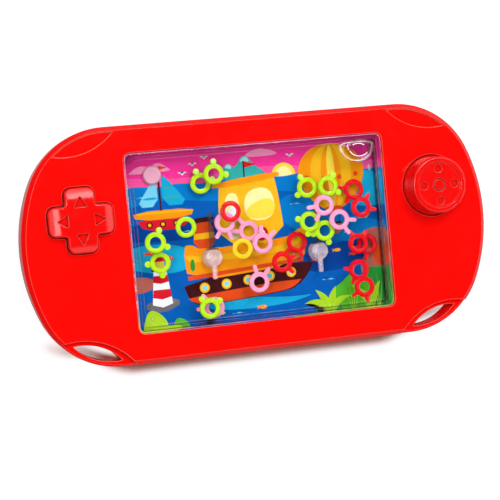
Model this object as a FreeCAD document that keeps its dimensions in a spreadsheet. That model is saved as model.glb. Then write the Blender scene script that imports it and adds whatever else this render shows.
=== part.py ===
import FreeCAD, Part
import math
import os
from FreeCAD import Placement, Rotation, Vector

# Hand-held water ring toss game, lying on its back.
# X runs along the case, Y up the picture, Z out of the window. The origin is the middle of the back face.

doc = FreeCAD.newDocument("WaterRingToss")
sheet = doc.addObject("Spreadsheet::Sheet", "sizes")

sizes = {
    # case, whose length and width come from what it holds
    "case_depth": 22.0,
    "end_clear": 6.15,
    "border_above": 10.05,
    "border_below": 10.85,
    "corner_round": 30.2,
    "tip_round": 63.6,
    "seam_height": 11.0,
    "side_wall": 2.0,
    "face_skin": 2.0,
    "back_skin": 2.0,
    "back_inset": 0.6,
    "back_round": 2.2,
    "rim_bevel": 1.6,
    "seam_bevel": 0.3,
    "edge_round": 0.5,
    "tongue_inset": 1.15,
    "tongue_height": 1.2,
    "rebate_inset": 1.0,
    "rebate_depth": 1.4,
    "tongue_gap": 0.1,
    "overrun": 1.0,
    # window and tank
    "window_length": 98.0,
    "window_width": 65.6,
    "window_round": 2.6,
    "window_gap": 0.3,
    "tank_wall": 1.5,
    "tank_plate": 1.5,
    "tank_set_back": 0.4,
    "tank_lip_width": 2.6,
    "tank_lip_drop": 0.4,
    "tank_shoulder": 1.8,
    "tank_shoulder_thick": 1.3,
    "seat_gap": 0.3,
    "card_thick": 0.4,
    "card_margin": 0.2,
    # decorative recesses of the face, measured from the end and the edge of the case
    "crescent_round": 23.8,
    "crescent_from_end": 18.5,
    "crescent_past_edge": 13.85,
    "crescent_drop": 0.7,
    "crescent_rim": 2.1,
    "scallop_round": 25.5,
    "scallop_from_end": 16.8,
    "scallop_past_edge": 14.65,
    "scallop_drop": 1.8,
    "scallop_edge_round": 1.0,
    # finger slots
    "slot_from_end": 23.7,
    "slot_from_edge": 5.7,
    "slot_half_length": 9.3,
    "slot_bulge": 2.35,
    "slot_collar": 1.5,
    # shared by both buttons
    "button_flange_lap": 1.65,
    "button_flange_thick": 1.4,
    "button_flange_gap": 0.1,
    "button_travel": 3.0,
    "button_slip": 0.45,
    "button_guide_gap": 0.3,
    "button_guide_wall": 1.2,
    "button_shell": 1.6,
    "presser_radius": 4.4,
    "presser_gap": 0.15,
    # cross button
    "cross_clear": 0.8,
    "cross_place_y": 10.6,
    "cross_half_span": 11.75,
    "cross_half_arm": 5.4,
    "cross_rise": 3.8,
    "cross_drop": 1.3,
    "cross_corner": 2.6,
    "cross_inner_corner": 1.0,
    "cross_edge_round": 0.8,
    "arrow_half_base": 2.4,
    "arrow_reach": 4.3,
    "arrow_start": 4.7,
    "arrow_round": 0.4,
    "arrow_depth": 0.8,
    # round button
    "round_clear": 2.45,
    "round_place_y": 11.5,
    "round_base_radius": 11.3,
    "round_draft": 0.8,
    "round_rise": 8.4,
    "round_edge_round": 0.9,
    "round_rim_width": 0.9,
    "round_dish": 0.5,
    "round_ring_radius": 2.5,
    "round_ring_line": 0.6,
    "round_mark_radius": 1.5,
    "round_mark_place": 6.0,
    "round_mark_depth": 0.6,
    # pumps
    "pump_radius": 10.4,
    "pump_wall": 1.8,
    "pump_cup_floor": 1.4,
    "bulb_flange_thick": 0.8,
    "bulb_flange_width": 2.2,
    "bulb_top_radius": 2.4,
    "bulb_skin": 1.0,
    "clamp_thick": 1.0,
    "clamp_gap": 0.3,
    "hose_bore": 1.2,
    "hose_skin": 0.6,
    "hose_bend": 4.0,
    "hose_beside": 2.9,
    "hose_above": 6.1,
    "nipple_bore": 0.7,
    "nipple_gap": 0.05,
    "nipple_cover": 0.05,
    "nipple_length": 2.2,
    "jet_block": 6.0,
    "jet_block_height": 4.8,
    "jet_tip_stand": 0.3,
    "jet_tip_radius": 1.2,
    "jet_mouth_radius": 0.9,
    "jet_hole_gap": 0.1,
    "jet_lift": 0.4,
    # pegs in the tank
    "peg_pin_radius": 0.95,
    "peg_pin_stand": 0.1,
    "peg_spigot_radius": 1.6,
    "peg_spigot_depth": 0.9,
    "peg_spigot_gap": 0.05,
    # filler
    "filler_from_end": 11.1,
    "filler_from_edge": 8.2,
    "filler_bore": 3.5,
    "filler_neck_wall": 1.3,
    "filler_neck_length": 2.6,
    "filler_slip": 0.05,
    "plug_stand": 0.5,
    "plug_head_lap": 0.4,
    "plug_head_thick": 1.9,
    "plug_head_gap": 0.1,
    "plug_tab_length": 5.0,
    "plug_tab_thick": 1.5,
    "plug_tab_height": 1.6,
    "access_room": 1.0,
    "access_wall": 1.2,
    "access_gap": 1.0,
    "card_hole_gap": 0.3,
    # ribs of the back
    "rib_thick": 1.4,
    "rib_inset": 1.2,
    # screws
    "screw_boss_radius": 3.2,
    "screw_column_radius": 4.2,
    "screw_pilot_radius": 1.05,
    "screw_pilot_room": 2.0,
    "screw_shank_radius": 1.25,
    "screw_hole_gap": 0.15,
    "screw_head_radius": 2.4,
    "screw_head_thick": 1.6,
    "screw_sink_gap": 0.5,
    "screw_sink_depth": 5.0,
    "screw_bite": 5.0,
    "screw_slot_half": 1.5,
    "screw_slot_width": 0.5,
    "screw_slot_depth": 0.7,
    "screw_upper_from_end": 28.0,
    "screw_upper_from_edge": 11.25,
    "screw_outer_from_end": 6.6,
    "screw_outer_y": -2.0,
    "screw_lower_from_end": 13.5,
    "screw_lower_from_edge": 19.75,
    # rings
    "ring_first": 0.3,
    "ring_play": 0.4,
    "ear_step": 0.2,
}

for row, (alias, value) in enumerate(sizes.items(), start=1):
    sheet.set("A%d" % row, alias)
    sheet.set("B%d" % row, str(value))
    sheet.setAlias("B%d" % row, alias)
doc.recompute()


def size(alias):
    return float(sheet.get(alias))


# Levels of the stack as expressions, each written once, from the face down to the picture
level = {"face": "sizes.case_depth", "under_face": "(sizes.case_depth - sizes.face_skin)"}
level["flange_top"] = "(%(under_face)s - sizes.button_flange_gap)" % level
level["flange_back"] = "(%(flange_top)s - sizes.button_flange_thick)" % level
level["presser_back"] = "(%(flange_back)s - sizes.seat_gap)" % level
level["bulb_top"] = "(%(presser_back)s - sizes.presser_gap)" % level
level["stop"] = "(%(flange_back)s - sizes.button_travel)" % level
level["clamp_seat"] = "(%(stop)s - sizes.seat_gap - sizes.clamp_thick)" % level
level["bulb_seat"] = "(%(clamp_seat)s - sizes.bulb_flange_thick)" % level
level["hose"] = "(%(bulb_seat)s - sizes.hose_bore + sizes.nipple_gap - sizes.nipple_cover)" % level
level["tank_base"] = "(%(hose)s - sizes.jet_tip_radius - sizes.jet_hole_gap - sizes.jet_lift)" % level
level["plate_back"] = "(%(tank_base)s - sizes.tank_plate)" % level
level["card_back"] = "(%(plate_back)s - sizes.card_thick)" % level
level["neck_end"] = "(%(plate_back)s - sizes.filler_neck_length)" % level
level["lip_top"] = "(sizes.case_depth - sizes.tank_set_back)"
level["panel_top"] = "(%(lip_top)s - sizes.tank_lip_drop)" % level
level["panel_back"] = "(%(panel_top)s - sizes.tank_wall)" % level
level["shoulder_top"] = "(%(under_face)s - sizes.seat_gap)" % level


def at(name):
    return float(sheet.evalExpression(level[name]))


# Places and radii that several pieces share
depth = size("case_depth")
seam = size("seam_height")
over = size("overrun")
tankBase = at("tank_base")
hoseHeight = at("hose")
windowY = (size("border_below") - size("border_above")) / 2
tankLength = size("window_length") - 2 * size("window_gap")
tankWidth = size("window_width") - 2 * size("window_gap")
tankRound = size("window_round") - size("window_gap")
tankLow = windowY - tankWidth / 2

sides = {"left": -1, "right": 1}
buttonRadius = {"left": size("cross_half_span"), "right": size("round_base_radius")}
flangeRadius = {side: radius + size("button_flange_lap") for side, radius in buttonRadius.items()}
guideInner = {side: radius + size("button_guide_gap") for side, radius in flangeRadius.items()}
guideOuter = {side: radius + size("button_guide_wall") for side, radius in guideInner.items()}
shoulderEnd = tankLength / 2 + size("tank_shoulder")
crossX = shoulderEnd + size("cross_clear") + guideOuter["left"]
roundX = shoulderEnd + size("round_clear") + guideOuter["right"]
halfLength = max(crossX + guideOuter["left"], roundX + guideOuter["right"]) + size("end_clear")
halfWidth = (size("window_width") + size("border_above") + size("border_below")) / 2

crossPlace = Vector(-crossX, size("cross_place_y"), 0)
roundPlace = Vector(roundX, size("round_place_y"), 0)
pumpPlaces = {"left": crossPlace, "right": roundPlace}
fillerX = -tankLength / 2 + size("filler_from_end")
fillerY = windowY + tankWidth / 2 - size("filler_from_edge")
neckRadius = size("filler_bore") + size("filler_neck_wall")
plugHeadRadius = neckRadius + size("plug_head_lap")
accessRadius = plugHeadRadius + size("access_room")
nippleRadius = size("hose_bore") - size("nipple_gap")
hoseRadius = size("hose_bore") + size("hose_skin")
jetY = tankLow - size("jet_block") / 2
up = Vector(0, 0, 1)

# Places of the pegs and jets as shares of the window's half length and half width
pegPlaceShares = {"left": (-0.365, -0.244), "right": (0.467, -0.290)}
jetPlaceShare = 0.439
jetX = jetPlaceShare * size("window_length") / 2

# The rings and pegs suit the tighter way across the window, and each part of them follows the ring
ringRadiusShares = {"window_length": 0.0398, "window_width": 0.05945}
ringRadius = min(size(name) * share for name, share in ringRadiusShares.items())
ringPartShares = {
    "hole": 0.551, "bevel": 0.103, "bear_radius": 0.295, "bear_place": 1.18, "long_reach": 1.718,
    "long_half": 0.185, "horn_reach": 1.538, "horn_base": 0.244, "horn_tip": 0.141,
}
pegPartShares = {"boss": 1.026, "boss_top": 0.82, "reach": 4.36, "stub": 2.05}
ringParts = {part: ringRadius * share for part, share in ringPartShares.items()}
pegParts = {part: ringRadius * share for part, share in pegPartShares.items()}

# Layers of rings between the picture and the window
ringLayers = 5
waterDepth = at("panel_back") - tankBase
ringPitch = (waterDepth - 2 * size("ring_first") + size("ring_play")) / ringLayers
ringThick = ringPitch - size("ring_play")
bossHeight = size("ring_first") + 2 * ringPitch - size("ring_play")
pinHeight = bossHeight + size("peg_pin_stand") - size("peg_pin_radius")


# Sketch and feature helpers
def originPlane(body, role):
    return [item for item in body.Origin.OriginFeatures if item.Role == role][0]


def addBody(name):
    body = doc.addObject("PartDesign::Body", name)
    body.Label = name
    return body


def addSketch(body, name, curves, height="", role="XY_Plane"):
    sketch = body.newObject("Sketcher::SketchObject", name)
    sketch.AttachmentSupport = (originPlane(body, role), [""])
    sketch.MapMode = "FlatFace"
    if isinstance(height, float):
        sketch.AttachmentOffset = Placement(Vector(0, 0, height), Rotation())
    elif height:
        sketch.setExpression("AttachmentOffset.Base.z", height)
    sketch.addGeometry(list(curves), False)
    sketch.Visibility = False
    return sketch


def volumeOf(body):
    return body.Shape.Volume if not body.Shape.isNull() else 0.0


def setLength(feature, length):
    """A length is an expression on the sheet, or a value worked out from it."""
    if isinstance(length, str):
        feature.setExpression("Length", length)
    else:
        feature.Length = length


def pad(body, name, sketch, length, backwards=False, middle=False):
    feature = body.newObject("PartDesign::Pad", name)
    feature.Profile = sketch
    setLength(feature, length)
    feature.Reversed = backwards
    feature.Midplane = middle
    doc.recompute()
    return feature


def pocket(body, name, sketch, length, forwards=False, middle=False):
    before = volumeOf(body)
    feature = body.newObject("PartDesign::Pocket", name)
    feature.Profile = sketch
    setLength(feature, length)
    feature.Reversed = forwards
    feature.Midplane = middle
    doc.recompute()
    if volumeOf(body) >= before:
        raise ValueError(body.Label + " " + name + " cuts nothing")
    return feature


def revolve(body, name, sketch):
    feature = body.newObject("PartDesign::Revolution", name)
    feature.Profile = sketch
    feature.ReferenceAxis = (sketch, ["V_Axis"])
    feature.Angle = 360
    doc.recompute()
    return feature


def roundEdges(body, name, radius, chosen, kind="PartDesign::Fillet"):
    base = body.Tip
    names = ["Edge%d" % (n + 1) for n, edge in enumerate(base.Shape.Edges) if chosen(edge)]
    feature = body.newObject(kind, name)
    feature.Base = (base, names)
    feature.setExpression("Radius" if kind.endswith("Fillet") else "Size", radius)
    doc.recompute()
    return feature


def spin(body, name, originals, count):
    feature = body.newObject("PartDesign::PolarPattern", name)
    feature.Originals = originals
    feature.Axis = (originPlane(body, "Z_Axis"), [""])
    feature.Angle = 360
    feature.Occurrences = count
    body.Tip = feature
    doc.recompute()
    return feature


# Curves for the sketches
def circle(x, y, radius):
    return Part.Circle(Vector(x, y, 0), up, radius)


def arc(centre, radius, start, end):
    return Part.ArcOfCircle(Part.Circle(centre, up, radius), start, end)


def roundedLoop(points, radii):
    """Straight runs through the points, with a tangent arc of its own radius at each."""
    points = [Vector(*p, 0) for p in points]
    starts, ends, arcs = [], [], []
    for n, point in enumerate(points):
        back = (points[n - 1] - point).normalize()
        ahead = (points[(n + 1) % len(points)] - point).normalize()
        radius = radii[n % len(radii)]
        half = back.getAngle(ahead) / 2
        cut = radius / math.tan(half)
        starts.append(point + back * cut)
        ends.append(point + ahead * cut)
        if radius > 0:
            centre = point + (back + ahead).normalize() * (radius / math.sin(half))
            middle = centre + (point - centre).normalize() * radius
            arcs.append(Part.Arc(starts[n], middle, ends[n]))
    runs = [
        Part.LineSegment(ends[n], starts[(n + 1) % len(points)])
        for n in range(len(points))
        if (ends[n] - starts[(n + 1) % len(points)]).Length > 1e-6
    ]
    return runs + arcs


def roundedBox(x, y, length, width, radius):
    halfX, halfY = length / 2, width / 2
    left, right, low, high = x - halfX, x + halfX, y - halfY, y + halfY
    corners = [(left, low), (right, low), (right, high), (left, high)]
    return roundedLoop(corners, [radius])


def caseOutline(inset=0.0):
    """Two straight edges and two ends, each a wide tip arc between two tighter corner arcs."""
    corner, tip = size("corner_round"), size("tip_round")
    tipX, cornerY = halfLength - tip, halfWidth - corner
    cornerX = tipX + math.sqrt((tip - corner) ** 2 - cornerY**2)
    turn = math.atan2(cornerY, cornerX - tipX)
    edge = halfWidth - inset
    quarter = math.pi / 2
    return [
        arc(Vector(tipX, 0, 0), tip - inset, -turn, turn),
        arc(Vector(cornerX, cornerY, 0), corner - inset, turn, quarter),
        Part.LineSegment(Vector(cornerX, edge, 0), Vector(-cornerX, edge, 0)),
        arc(Vector(-cornerX, cornerY, 0), corner - inset, quarter, math.pi - turn),
        arc(Vector(-tipX, 0, 0), tip - inset, math.pi - turn, math.pi + turn),
        arc(Vector(-cornerX, -cornerY, 0), corner - inset, math.pi + turn, 3 * quarter),
        Part.LineSegment(Vector(-cornerX, -edge, 0), Vector(cornerX, -edge, 0)),
        arc(Vector(cornerX, -cornerY, 0), corner - inset, 3 * quarter, 4 * quarter - turn),
    ]


def asFace(curves):
    return Part.Face(Part.Wire(Part.__sortEdges__([curve.toShape() for curve in curves])))


def asCurves(face):
    """The boundary of a flat face as sketch curves."""
    curves = []
    for edge in face.OuterWire.Edges:
        ends = [vertex.Point for vertex in edge.Vertexes]
        if isinstance(edge.Curve, Part.Line):
            curves.append(Part.LineSegment(ends[0], ends[-1]))
        else:
            curves.append(Part.ArcOfCircle(edge.Curve, *edge.ParameterRange))
    return curves


def cornerPatch(x, y, radius, inset):
    """Where a big circle, placed outside the case, overlaps the case drawn in by the inset."""
    patch = asFace([circle(x, y, radius)]).common(asFace(caseOutline(inset)))
    return asCurves(patch.Faces[0])


# A finger slot is a lens of two arcs, and its inner arc goes on as the edge of the bay behind it
slotArc = (size("slot_half_length") ** 2 + size("slot_bulge") ** 2) / (2 * size("slot_bulge"))
slotReach = slotArc - size("slot_bulge")


def slotFrame(side):
    """The middle of a slot and its two directions, tilted to follow the corner of the case."""
    x, y = halfLength - size("slot_from_end"), halfWidth - size("slot_from_edge")
    tilt = math.atan2(y - halfWidth + size("corner_round"), x)
    along = Vector(math.cos(tilt), side * math.sin(tilt), 0)
    return Vector(side * x, -y, 0), along, Vector(-along.y, along.x, 0)


def slotLens(side, grow=0.0):
    middle, along, across = slotFrame(side)
    tipOut = along * math.sqrt((slotArc + grow) ** 2 - slotReach**2)
    crown = across * (size("slot_bulge") + grow)
    return [
        Part.Arc(middle - tipOut, middle + crown, middle + tipOut),
        Part.Arc(middle + tipOut, middle - crown, middle - tipOut),
    ]


def fingerBay(side, grow=0.0):
    """The round that the corner of the rear shell stays clear of, so that a finger can pass behind the bar."""
    middle, along, across = slotFrame(side)
    centre = middle - across * slotReach
    return centre.x, centre.y, slotArc + grow


def bothSides(curvesOf, *grow):
    return [curve for side in sides.values() for curve in curvesOf(side, *grow)]


def crossOutline(grow=0.0):
    span, arm = size("cross_half_span") + grow, size("cross_half_arm") + grow
    outer, inner = size("cross_corner") + grow, size("cross_inner_corner") - grow * 0.5
    points = [
        (span, -arm), (span, arm), (arm, arm), (arm, span), (-arm, span), (-arm, arm),
        (-span, arm), (-span, -arm), (-arm, -arm), (-arm, -span), (arm, -span), (arm, -arm),
    ]
    return roundedLoop(points, [outer, outer, inner])


def moved(curves, place):
    shifted = []
    for curve in curves:
        copy = curve.copy()
        copy.translate(place)
        shifted.append(copy)
    return shifted


# Screws: three at each end, mirrored
screwSpots = [
    (halfLength - size("screw_upper_from_end"), halfWidth - size("screw_upper_from_edge")),
    (halfLength - size("screw_outer_from_end"), size("screw_outer_y")),
    (halfLength - size("screw_lower_from_end"), size("screw_lower_from_edge") - halfWidth),
]
screwPlaces = [Vector(side * x, y, 0) for side in sides.values() for x, y in screwSpots]


def outerEdge(edge, height):
    """True on the outer boundary of the case at a height."""
    box = edge.BoundBox
    if abs(box.ZMin - height) > 1e-4 or abs(box.ZMax - height) > 1e-4:
        return False
    middle = edge.valueAt((edge.FirstParameter + edge.LastParameter) / 2)
    away = Part.Vertex(middle.x, middle.y, 0).distToShape(outlineWire)[0]
    return away < size("edge_round")


outlineWire = Part.Wire(Part.__sortEdges__([curve.toShape() for curve in caseOutline()]))


def makeFrontShell():
    body = addBody("front_shell")
    face, under = level["face"], level["under_face"]
    outline = addSketch(body, "outline", caseOutline(), "sizes.seam_height")
    pad(body, "wall", outline, face + " - sizes.seam_height")
    roundEdges(body, "rim", "sizes.rim_bevel", lambda edge: outerEdge(edge, depth), "PartDesign::Chamfer")
    roundEdges(body, "seam_line", "sizes.seam_bevel", lambda edge: outerEdge(edge, seam), "PartDesign::Chamfer")
    hollow = addSketch(body, "inside", caseOutline(size("side_wall")), "sizes.seam_height - sizes.overrun")
    pocket(body, "hollow", hollow, under + " - sizes.seam_height + sizes.overrun", forwards=True)
    # ground under the two low corners, then their step, and the two shallow crescents
    x, y = halfLength - size("scallop_from_end"), -halfWidth - size("scallop_past_edge")
    radius = size("scallop_round")
    ground = []
    for side in sides.values():
        ground += cornerPatch(side * x, y, radius + size("slot_collar"), size("side_wall") / 2)
    pad(body, "corner_ground", addSketch(body, "ground", ground, under), "sizes.scallop_drop", backwards=True)
    steps = [circle(side * x, y, radius) for side in sides.values()]
    pocket(body, "corner_steps", addSketch(body, "steps", steps, face), "sizes.scallop_drop")
    low = depth - size("scallop_drop")
    roundEdges(body, "corner_edges", "sizes.scallop_edge_round", lambda edge: outerEdge(edge, low))
    crescents = []
    for side in sides.values():
        x, y = halfLength - size("crescent_from_end"), halfWidth + size("crescent_past_edge")
        crescents += cornerPatch(side * x, y, size("crescent_round"), size("crescent_rim"))
    pocket(body, "crescents", addSketch(body, "crescent_lines", crescents, face), "sizes.crescent_drop")
    # guides of the buttons and bosses of the screws
    guides, bosses = [], []
    for side, place in pumpPlaces.items():
        guides += [circle(place.x, place.y, radius[side]) for radius in (guideInner, guideOuter)]
    guideRings = addSketch(body, "guide_rings", guides, under)
    pad(body, "guides", guideRings, under + " - " + level["stop"], backwards=True)
    for place in screwPlaces:
        bosses.append(circle(place.x, place.y, size("screw_boss_radius")))
    bossRounds = addSketch(body, "boss_rounds", bosses, "sizes.seam_height")
    pad(body, "bosses", bossRounds, under + " - sizes.seam_height")
    pilots = [circle(place.x, place.y, size("screw_pilot_radius")) for place in screwPlaces]
    pilotSketch = addSketch(body, "pilot_rounds", pilots, "sizes.seam_height")
    pocket(body, "pilots", pilotSketch, "sizes.screw_bite + sizes.screw_pilot_room", forwards=True)
    # finger slots with their walls, and a solid bar outside each
    toGround = face + " - sizes.scallop_drop - sizes.seam_height - sizes.overrun * 0.5"
    collars = addSketch(body, "slot_collars", bothSides(slotLens, size("slot_collar")), "sizes.seam_height")
    pad(body, "slot_walls", collars, toGround)
    lines = caseOutline(size("rebate_inset")) + caseOutline(size("side_wall") + size("tongue_gap"))
    rebate = addSketch(body, "rebate_lines", lines, "sizes.seam_height")
    pocket(body, "rebate", rebate, "sizes.rebate_depth", forwards=True)
    bars = []
    for side in sides.values():
        bars += cornerPatch(*fingerBay(side, -size("tongue_gap")), size("rebate_inset") / 2)
    pad(body, "bars", addSketch(body, "bar_patches", bars, "sizes.seam_height"), toGround)
    slots = addSketch(body, "slot_lenses", bothSides(slotLens), face)
    pocket(body, "slots", slots, face + " - sizes.seam_height + sizes.overrun")
    # window and button openings
    window = roundedBox(0, windowY, size("window_length"), size("window_width"), size("window_round"))
    crossHole = moved(crossOutline(size("button_slip")), crossPlace)
    roundHole = [circle(roundPlace.x, roundPlace.y, size("round_base_radius") + size("button_slip"))]
    openings = addSketch(body, "opening_lines", window + crossHole + roundHole, face)
    pocket(body, "openings", openings, "sizes.face_skin + sizes.overrun * 0.5")
    return body


def makeRearShell():
    body = addBody("rear_shell")
    wall = pad(body, "wall", addSketch(body, "seam_outline", caseOutline(), "sizes.seam_height"),
               "sizes.seam_height", backwards=True)
    wall.setExpression("TaperAngle", "-atan(sizes.back_inset / sizes.seam_height)")
    doc.recompute()
    roundEdges(body, "back_edge", "sizes.back_round",
               lambda edge: edge.BoundBox.ZMax < 1e-4)
    roundEdges(body, "seam_line", "sizes.seam_bevel", lambda edge: outerEdge(edge, seam), "PartDesign::Chamfer")
    mouth = addSketch(body, "mouth_outline", caseOutline(size("side_wall")), "sizes.seam_height")
    hollow = pocket(body, "hollow", mouth, "sizes.seam_height - sizes.back_skin")
    hollow.setExpression("TaperAngle", "-atan(sizes.back_inset / sizes.seam_height)")
    doc.recompute()
    # columns for the screws
    columns = [circle(place.x, place.y, size("screw_column_radius")) for place in screwPlaces]
    floorRise = "sizes.seam_height - sizes.back_skin * 0.5"
    pad(body, "columns", addSketch(body, "column_rounds", columns, "sizes.back_skin * 0.5"), floorRise)
    # ribs that carry the picture card, the tank and the pump cups
    inset = 2 * size("rib_inset")
    thick = 2 * size("rib_thick")
    frameX, frameY = tankLength - inset, tankWidth - inset
    ribs = roundedBox(0, windowY, frameX, frameY, tankRound)
    ribs += roundedBox(0, windowY, frameX - thick, frameY - thick, tankRound - size("rib_thick") / 2)
    for place in pumpPlaces.values():
        outer = size("pump_radius") - size("rib_inset") / 2
        ribs += [circle(place.x, place.y, outer), circle(place.x, place.y, outer - size("rib_thick"))]
    cardBase = level["card_back"]
    ribLines = addSketch(body, "rib_lines", ribs, "sizes.back_skin * 0.5")
    pad(body, "ribs", ribLines, cardBase + " - sizes.back_skin * 0.5")
    # way in to the filler plug
    wellWall = [circle(fillerX, fillerY, accessRadius + size("access_wall"))]
    pad(body, "well_wall", addSketch(body, "well_round", wellWall, "sizes.back_skin * 0.5"),
        cardBase + " - sizes.access_gap - sizes.back_skin * 0.5")
    well = addSketch(body, "well_bore", [circle(fillerX, fillerY, accessRadius)], "-sizes.overrun")
    pocket(body, "well", well, cardBase + " + sizes.overrun", forwards=True)
    # screw holes, sunk from the back
    holeRadius = size("screw_shank_radius") + size("screw_hole_gap")
    holes = [circle(place.x, place.y, holeRadius) for place in screwPlaces]
    pocket(body, "screw_holes", addSketch(body, "hole_rounds", holes, "-sizes.overrun"),
           "sizes.seam_height + 2 * sizes.overrun", forwards=True)
    sinkRadius = size("screw_head_radius") + size("screw_sink_gap")
    sinks = [circle(place.x, place.y, sinkRadius) for place in screwPlaces]
    pocket(body, "screw_sinks", addSketch(body, "sink_rounds", sinks, "-sizes.overrun"),
           "sizes.screw_sink_depth + sizes.overrun", forwards=True)
    lines = caseOutline(size("tongue_inset")) + caseOutline(size("side_wall"))
    tongue = addSketch(body, "tongue_lines", lines, "sizes.seam_height - sizes.back_skin * 0.5")
    pad(body, "tongue", tongue, "sizes.tongue_height + sizes.back_skin * 0.5")
    # finger bays behind the bars, each with its own wall
    walls = []
    for side in sides.values():
        inset = size("back_inset") + size("side_wall") / 2
        walls += cornerPatch(*fingerBay(side, size("slot_collar")), inset)
    bayWalls = addSketch(body, "bay_patches", walls, "sizes.back_round")
    pad(body, "bay_walls", bayWalls, "sizes.seam_height - sizes.back_round")
    bays = addSketch(body, "bay_rounds", [circle(*fingerBay(side)) for side in sides.values()], "-sizes.overrun")
    pocket(body, "bays", bays, "sizes.seam_height + sizes.tongue_height + 2 * sizes.overrun", forwards=True)
    return body


def makeScrews():
    """Six self-tapping pan screws, one group of separate solids."""
    solids = []
    seat = size("screw_sink_depth")
    head, thick = size("screw_head_radius"), size("screw_head_thick")
    shank, tip = size("screw_shank_radius"), seam + size("screw_bite")
    for place in screwPlaces:
        base = Vector(place.x, place.y, seat - thick)
        screw = Part.makeCylinder(head, thick, base)
        rim = [edge for edge in screw.Edges if abs(edge.BoundBox.ZMax - base.z) < 1e-4]
        screw = screw.makeChamfer(thick * 0.4, rim)
        screw = screw.fuse(Part.makeCylinder(shank, tip - seat, Vector(place.x, place.y, seat)))
        point = Part.makeCone(shank, shank * 0.2, shank, Vector(place.x, place.y, tip))
        screw = screw.fuse(point)
        half, width = size("screw_slot_half"), size("screw_slot_width")
        for long, short in ((half, width / 2), (width / 2, half)):
            corner = base + Vector(-long, -short, 0)
            screw = screw.cut(Part.makeBox(2 * long, 2 * short, size("screw_slot_depth"), corner))
        solids.append(screw.removeSplitter())
    feature = doc.addObject("Part::Feature", "case_screws")
    feature.Label = "case_screws"
    feature.Shape = Part.makeCompound(solids)
    return feature


def makeTankFront():
    """The clear tray: its raised face fills the window, a shoulder sits behind the red shell."""
    body = addBody("tank_front")
    tray = roundedBox(0, windowY, tankLength, tankWidth, tankRound)
    pad(body, "tray", addSketch(body, "tray_outline", tray, level["tank_base"]),
        level["lip_top"] + " - " + level["tank_base"])
    lipTop = at("lip_top")
    roundEdges(body, "front_edge", "sizes.edge_round", lambda edge: edge.BoundBox.ZMin > lipTop - 1e-4)
    reach = 2 * size("tank_shoulder")
    shoulder = roundedBox(0, windowY, tankLength + reach, tankWidth + reach, tankRound + size("tank_shoulder"))
    pad(body, "shoulder", addSketch(body, "shoulder_outline", shoulder, level["shoulder_top"]),
        "sizes.tank_shoulder_thick", backwards=True)
    lip = 2 * size("tank_lip_width")
    panel = roundedBox(0, windowY, tankLength - lip, tankWidth - lip, tankRound)
    pocket(body, "panel", addSketch(body, "panel_outline", panel, level["lip_top"]), "sizes.tank_lip_drop")
    wall = 2 * size("tank_wall")
    inside = roundedBox(0, windowY, tankLength - wall, tankWidth - wall, tankRound - size("edge_round"))
    water = addSketch(body, "water_outline", inside, level["tank_base"] + " - sizes.overrun")
    waterRise = level["panel_back"] + " - " + level["tank_base"] + " + sizes.overrun"
    pocket(body, "water_space", water, waterRise, forwards=True)
    jetHole = size("jet_tip_radius") + size("jet_hole_gap")
    jets = [circle(side * jetX, hoseHeight, jetHole) for side in sides.values()]
    jetSketch = addSketch(body, "jet_rounds", jets, over - tankLow, "XZ_Plane")
    pocket(body, "jet_holes", jetSketch, "sizes.tank_wall + 2 * sizes.overrun")
    return body


def inWindow(shareX, shareY, height=0):
    """A place in the window from its shares of the half length and the half width."""
    return Vector(shareX * size("window_length") / 2, windowY + shareY * size("window_width") / 2, height)


def pegPlace(side):
    return inWindow(*pegPlaceShares[side], tankBase)


def makeTankBack():
    body = addBody("tank_back")
    plate = roundedBox(0, windowY, tankLength, tankWidth, tankRound)
    pad(body, "plate", addSketch(body, "plate_outline", plate, level["plate_back"]), "sizes.tank_plate")
    neck = addSketch(body, "neck_round", [circle(fillerX, fillerY, neckRadius)], level["plate_back"])
    pad(body, "neck", neck, "sizes.filler_neck_length", backwards=True)
    boreRound = [circle(fillerX, fillerY, size("filler_bore"))]
    bore = addSketch(body, "bore_round", boreRound, level["tank_base"] + " + sizes.overrun")
    pocket(body, "filler_bore", bore, "sizes.tank_plate + sizes.filler_neck_length + 2 * sizes.overrun")
    socketRadius = size("peg_spigot_radius") + size("peg_spigot_gap")
    sockets = [circle(pegPlace(side).x, pegPlace(side).y, socketRadius) for side in sides]
    pocket(body, "peg_sockets", addSketch(body, "socket_rounds", sockets, level["tank_base"]),
           "sizes.peg_spigot_depth + sizes.peg_spigot_gap")
    return body


def makeCard():
    body = addBody("picture_card")
    margin = 2 * size("card_margin")
    card = roundedBox(0, windowY, tankLength - margin, tankWidth - margin, tankRound)
    hole = circle(fillerX, fillerY, neckRadius + size("card_hole_gap"))
    outline = addSketch(body, "card_outline", card + [hole], level["card_back"])
    pad(body, "card", outline, "sizes.card_thick")
    return body


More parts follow.
